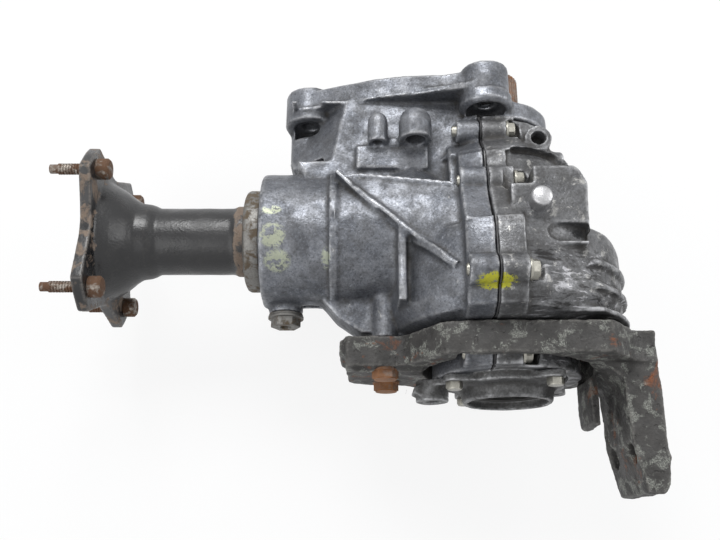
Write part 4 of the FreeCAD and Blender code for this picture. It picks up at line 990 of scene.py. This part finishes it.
@dataclass(frozen=True)
class BracketForms:
    """The corners that the bracket lacks beside its plain CAD plate, in millimetres.

    Attributes:
        face_y: Where its plate starts and ends along Y.
        arm_z: Lower and upper side of its arm.
    """

    face_y: Pair = (-104.0, -77.0)
    arm_z: Pair = (-30.0, 42.0)

    def steps(self) -> list[Step]:
        """The forms, in the order in which they are worked."""
        inner = [(60, -101), (71, -112), (72, -150), (78.5, -180), (80, -187), (60, -187)]
        upper = [(57, 69), (72, 51), (79, 41.5), (98, 38.5), (98, 69)]
        lower = [(-122, -24), (-108, -40), (-92, -46), (-74, -51), (-74, -60), (-122, -60)]
        return [cut(prism("Z", inner, *self.arm_z)),
                cut(prism("Y", upper, *self.face_y)),
                cut(prism("Y", lower, *self.face_y))]


@dataclass(frozen=True)
class FlangeForms:
    """The rounded tips of the input flange's arms, in millimetres.

    Attributes:
        tip_r: Radius over the tips.
        plate_x: Where the flange's plate starts and ends along X.
    """

    tip_r: float = 71.3
    plate_x: Pair = (-299.0, -288.0)

    def steps(self) -> list[Step]:
        """The forms, in the order in which they are worked."""
        start, end = self.plate_x
        ring = [(start, 90.0), (end, 90.0), (end, self.tip_r), (start, self.tip_r)]
        return [cut(turned("X", ring, points=96, looped=True))]


@dataclass
class Piece:
    """A piece of the dressed model that stands for one CAD node.

    Attributes:
        node: The CAD node that it stands for.
        finish: Its finish.
        slot: The record's material slot; not used.
        body: The body that it rides on.
    """

    node: str
    finish: Finish
    slot: str
    body: Body = Body.HOUSING

    def seat(self, piece: Object) -> Object:
        """Dresses a piece, puts it on its body, hides its CAD node and returns it."""
        dress(piece, self.finish)
        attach(piece, self.body.value)
        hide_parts(self.node)
        return piece


@dataclass
class CastPiece(Piece):
    """A casting: the CAD node's form with soft corners, fillets and a slightly uneven skin.

    Attributes:
        grain: Size of the facets of its skin, in metres.
        soften: Rounds of smoothing, which set the corner radii.
        wave: Height of the slow unevenness, in metres.
        crust: Height of the fine unevenness, in metres.
        steps: The forms that are added to it and cut from it.
    """

    grain: float = 0.0013
    soften: int = 4
    wave: float = 0.0003
    crust: float = 0.00008
    steps: list[Step] = field(default_factory=list)

    def build(self) -> Object:
        """Builds, dresses and seats the casting."""
        rough = new_object(self.node + "_form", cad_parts[self.node].data.copy())
        tools = self.work(rough)
        modify(rough, "REMESH", mode="VOXEL", voxel_size=self.grain, use_smooth_shade=True)
        modify(rough, "SMOOTH", factor=0.5, iterations=self.soften)
        mesh = worked(rough)
        for thing in [rough] + tools:
            bpy.data.objects.remove(thing)
        self.roughen(mesh)
        mesh.shade_smooth()
        return self.seat(new_object(self.node + "_casting", mesh))

    def work(self, rough: Object) -> list[Object]:
        """Adds and cuts the forms, and returns the objects that the modifiers use."""
        form = bmesh.new()
        form.from_mesh(rough.data)
        bmesh.ops.remove_doubles(form, verts=form.verts, dist=1e-7)
        form.to_mesh(rough.data)
        form.free()
        tools = []
        for way, mesh in self.steps:
            tool = new_object(self.node + "_tool", mesh)
            modify(rough, "BOOLEAN", operation=way.value, solver="MANIFOLD", object=tool)
            tools.append(tool)
        return tools

    def roughen(self, mesh: Mesh) -> None:
        """Moves each point a little along its normal, so that no face is quite flat."""
        moved = []
        for vertex in mesh.vertices:
            slow = noise.noise(vertex.co * WAVE_SCALE) * self.wave
            fine = noise.noise(vertex.co * CRUST_SCALE) * self.crust
            moved.extend(vertex.co + vertex.normal * (slow + fine - self.wave * 0.4))
        mesh.vertices.foreach_set("co", moved)
        mesh.update()


@dataclass
class MachinedPiece(Piece):
    """A machined or pressed piece: the CAD node's form with fine broken edges.

    Attributes:
        chamfer: Width of the broken edges in metres.
        shift: How far it sits from its CAD node, in millimetres.
    """

    chamfer: float = 0.00035
    shift: Triple = (0.0, 0.0, 0.0)

    def build(self) -> Object:
        """Builds, dresses and seats the piece."""
        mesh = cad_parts[self.node].data.copy()
        form = bmesh.new()
        form.from_mesh(mesh)
        bmesh.ops.remove_doubles(form, verts=form.verts, dist=1e-6)
        bmesh.ops.dissolve_limit(form, angle_limit=math.radians(FLAT_ANGLE), verts=form.verts,
                                 edges=form.edges)
        bmesh.ops.translate(form, vec=Vector(self.shift) * MM, verts=form.verts)
        form.to_mesh(mesh)
        form.free()
        piece = new_object(self.node + "_made", mesh)
        modify(piece, "BEVEL", width=self.chamfer, segments=2, limit_method="ANGLE",
               angle_limit=math.radians(BROKEN_ANGLE), use_clamp_overlap=True)
        piece.data = worked(piece)
        piece.modifiers.clear()
        shade(piece.data, CRISP_ANGLE)
        return self.seat(piece)


@dataclass
class Portrait:
    """The pale floor, the soft lamps and the camera.

    Attributes:
        lens: The camera's focal length in millimetres.
        camera_at: The camera's place, in millimetres from the crossing of the gear lines.
        tilt: How far the camera leans back from straight down, in degrees.
        target: What the lamps look at, in millimetres from the crossing of the gear lines.
        floor_gap: How far the floor lies under the lowest piece, in metres.
    """

    lens: float = 40.0
    camera_at: Triple = (-103.5, -215.2, 560.5)
    tilt: float = 19.0
    target: Triple = (-90.0, -20.0, 0.0)
    floor_gap: float = 0.0005

    def camera(self) -> None:
        """Makes the camera and looks through it."""
        lens = bpy.data.cameras.new("camera")
        lens.lens = self.lens
        lens.sensor_width = 36.0
        lens.clip_start = 0.01
        lens.clip_end = 20.0
        eye = new_object("camera", lens)
        eye.location = place(*self.camera_at)
        eye.rotation_euler = (math.radians(self.tilt), 0.0, 0.0)
        bpy.context.scene.camera = eye

    def lamp(self, name: str, at: Triple, size: float, power: float) -> None:
        """Hangs a square soft lamp that looks at the object.

        Args:
            name: The lamp's name.
            at: Its place in metres from the crossing of the gear lines.
            size: The length of its side in metres.
            power: Its power in watts.
        """
        light = bpy.data.lights.new(name, "AREA")
        light.size = size
        light.energy = power
        lamp = new_object(name, light)
        lamp.location = Vector(at) + place(0.0, 0.0, 0.0)
        lamp.rotation_euler = (place(*self.target) - lamp.location).to_track_quat("-Z", "Y").to_euler()

    def surroundings(self) -> None:
        """Lights the room and makes what the camera sees behind the object white."""
        world = bpy.data.worlds.new("studio")
        bpy.context.scene.world = world
        graph = empty_graph(world)
        path = graph.node("ShaderNodeLightPath").outputs
        seen = graph.maths("MAXIMUM", path["Is Camera Ray"], path["Is Glossy Ray"])
        seen = graph.maths("MAXIMUM", seen, path["Is Transmission Ray"])
        room = graph.shader("ShaderNodeBackground", (0.95, 0.97, 1.0), Strength=0.42)
        white = graph.shader("ShaderNodeBackground", (1.0, 1.0, 1.0), Strength=1.0)
        graph.feed(graph.node("ShaderNodeOutputWorld").inputs["Surface"], graph.between(seen, room, white))

    def floor(self) -> None:
        """Lays the pale floor, which shows nearly white to the camera but keeps a soft shadow."""
        low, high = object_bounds()
        middle = (low + high) / 2
        form = bmesh.new()
        bmesh.ops.create_grid(form, x_segments=2, y_segments=2, size=3.0)
        mesh = bpy.data.meshes.new("floor")
        form.to_mesh(mesh)
        form.free()
        floor = new_object("floor", mesh)
        floor.location = (middle.x, middle.y, low.z - self.floor_gap)
        paint = bpy.data.materials.new("floor_white")
        graph = empty_graph(paint)
        path = graph.node("ShaderNodeLightPath").outputs
        matt = graph.shader("ShaderNodeBsdfDiffuse", (0.86, 0.86, 0.86))
        glow = graph.shader("ShaderNodeEmission", (1.0, 1.0, 1.0), Strength=1.0)
        seen = graph.maths("MAXIMUM", path["Is Camera Ray"], graph.times(path["Is Glossy Ray"], 0.6))
        both = graph.between(graph.times(seen, 0.86), matt, glow)
        graph.feed(graph.node("ShaderNodeOutputMaterial").inputs["Surface"], both)
        floor.data.materials.append(paint)
        floor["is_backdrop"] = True

    def build(self) -> None:
        """Sets the whole scene round the object."""
        self.camera()
        self.lamp("key_lamp", (-0.25, 0.75, 0.95), 0.55, 11.0)
        self.lamp("fill_lamp", (-0.75, -0.45, 0.80), 0.9, 4.0)
        self.lamp("rim_lamp", (0.85, 0.20, 0.55), 0.6, 4.0)
        self.surroundings()
        self.floor()
        bpy.context.scene.view_settings.view_transform = "Standard"


def main() -> None:
    """Builds and dresses every sub-assembly, then sets the scene."""
    logging.basicConfig(level=logging.INFO, format="%(name)s: %(message)s")
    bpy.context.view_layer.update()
    for finish, names in DRESSING.items():
        for name in names:
            dress(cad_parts[name], finish)
            shade(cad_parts[name].data, CAD_CRISP_ANGLE)
    pieces: list[CastPiece | MachinedPiece] = [
        CastPiece("main_case", CASE_METAL, "cast_aluminium",
                  steps=WingForms().steps() + BarrelForms().steps()),
        CastPiece("front_cover", COVER_METAL, "cast_aluminium", wave=0.0005, crust=0.00012,
                  steps=CoverForms().steps()),
        # Painted shade: the retainer is dressed in the darkened copy of the cast aluminium
        CastPiece("side_bearing_retainer", SHADED_RETAINER_METAL, "cast_aluminium", grain=0.0009, soften=3),
        CastPiece("mount_bracket", BRACKET_METAL, "dark_cast_iron", soften=5, wave=0.0008, crust=0.0003,
                  steps=BracketForms().steps()),
        CastPiece("input_flange", FLANGE_PAINT, "black_flange", grain=0.0010, soften=3, wave=0.0002,
                  crust=0.00005, body=Body.PINION, steps=FlangeForms().steps()),
        MachinedPiece("cover_bolts", ZINC, "zinc_steel"),
        MachinedPiece("retainer_bolts", ZINC, "zinc_steel"),
        MachinedPiece("bracket_bolts", RUSTY_STEEL, "rusty_steel", chamfer=0.0006),
        MachinedPiece("flange_studs", STUD_STEEL, "zinc_steel", chamfer=0.0002, body=Body.PINION),
        MachinedPiece("dust_shield", SHIELD_METAL, "dust_shield_steel", chamfer=0.0006, body=Body.PINION),
        MachinedPiece("breather_stem", ZINC, "zinc_steel", shift=BREATHER_SHIFT),
        MachinedPiece("breather_cap", BRIGHT_CAP, "bright_cap", shift=BREATHER_SHIFT),
        MachinedPiece("filler_plug", SHIELD_METAL, "zinc_steel", shift=FILLER_SHIFT),
        MachinedPiece("filler_plug_washer", SHIELD_METAL, "zinc_steel", chamfer=0.0002, shift=FILLER_SHIFT),
        MachinedPiece("drain_plug", ZINC, "zinc_steel"),
    ]
    for piece in pieces:
        made = piece.build()
        LOG.info("%s has %d faces", made.name, len(made.data.polygons))
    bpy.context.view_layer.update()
    Portrait().build()


if __name__ == "__main__":
    main()
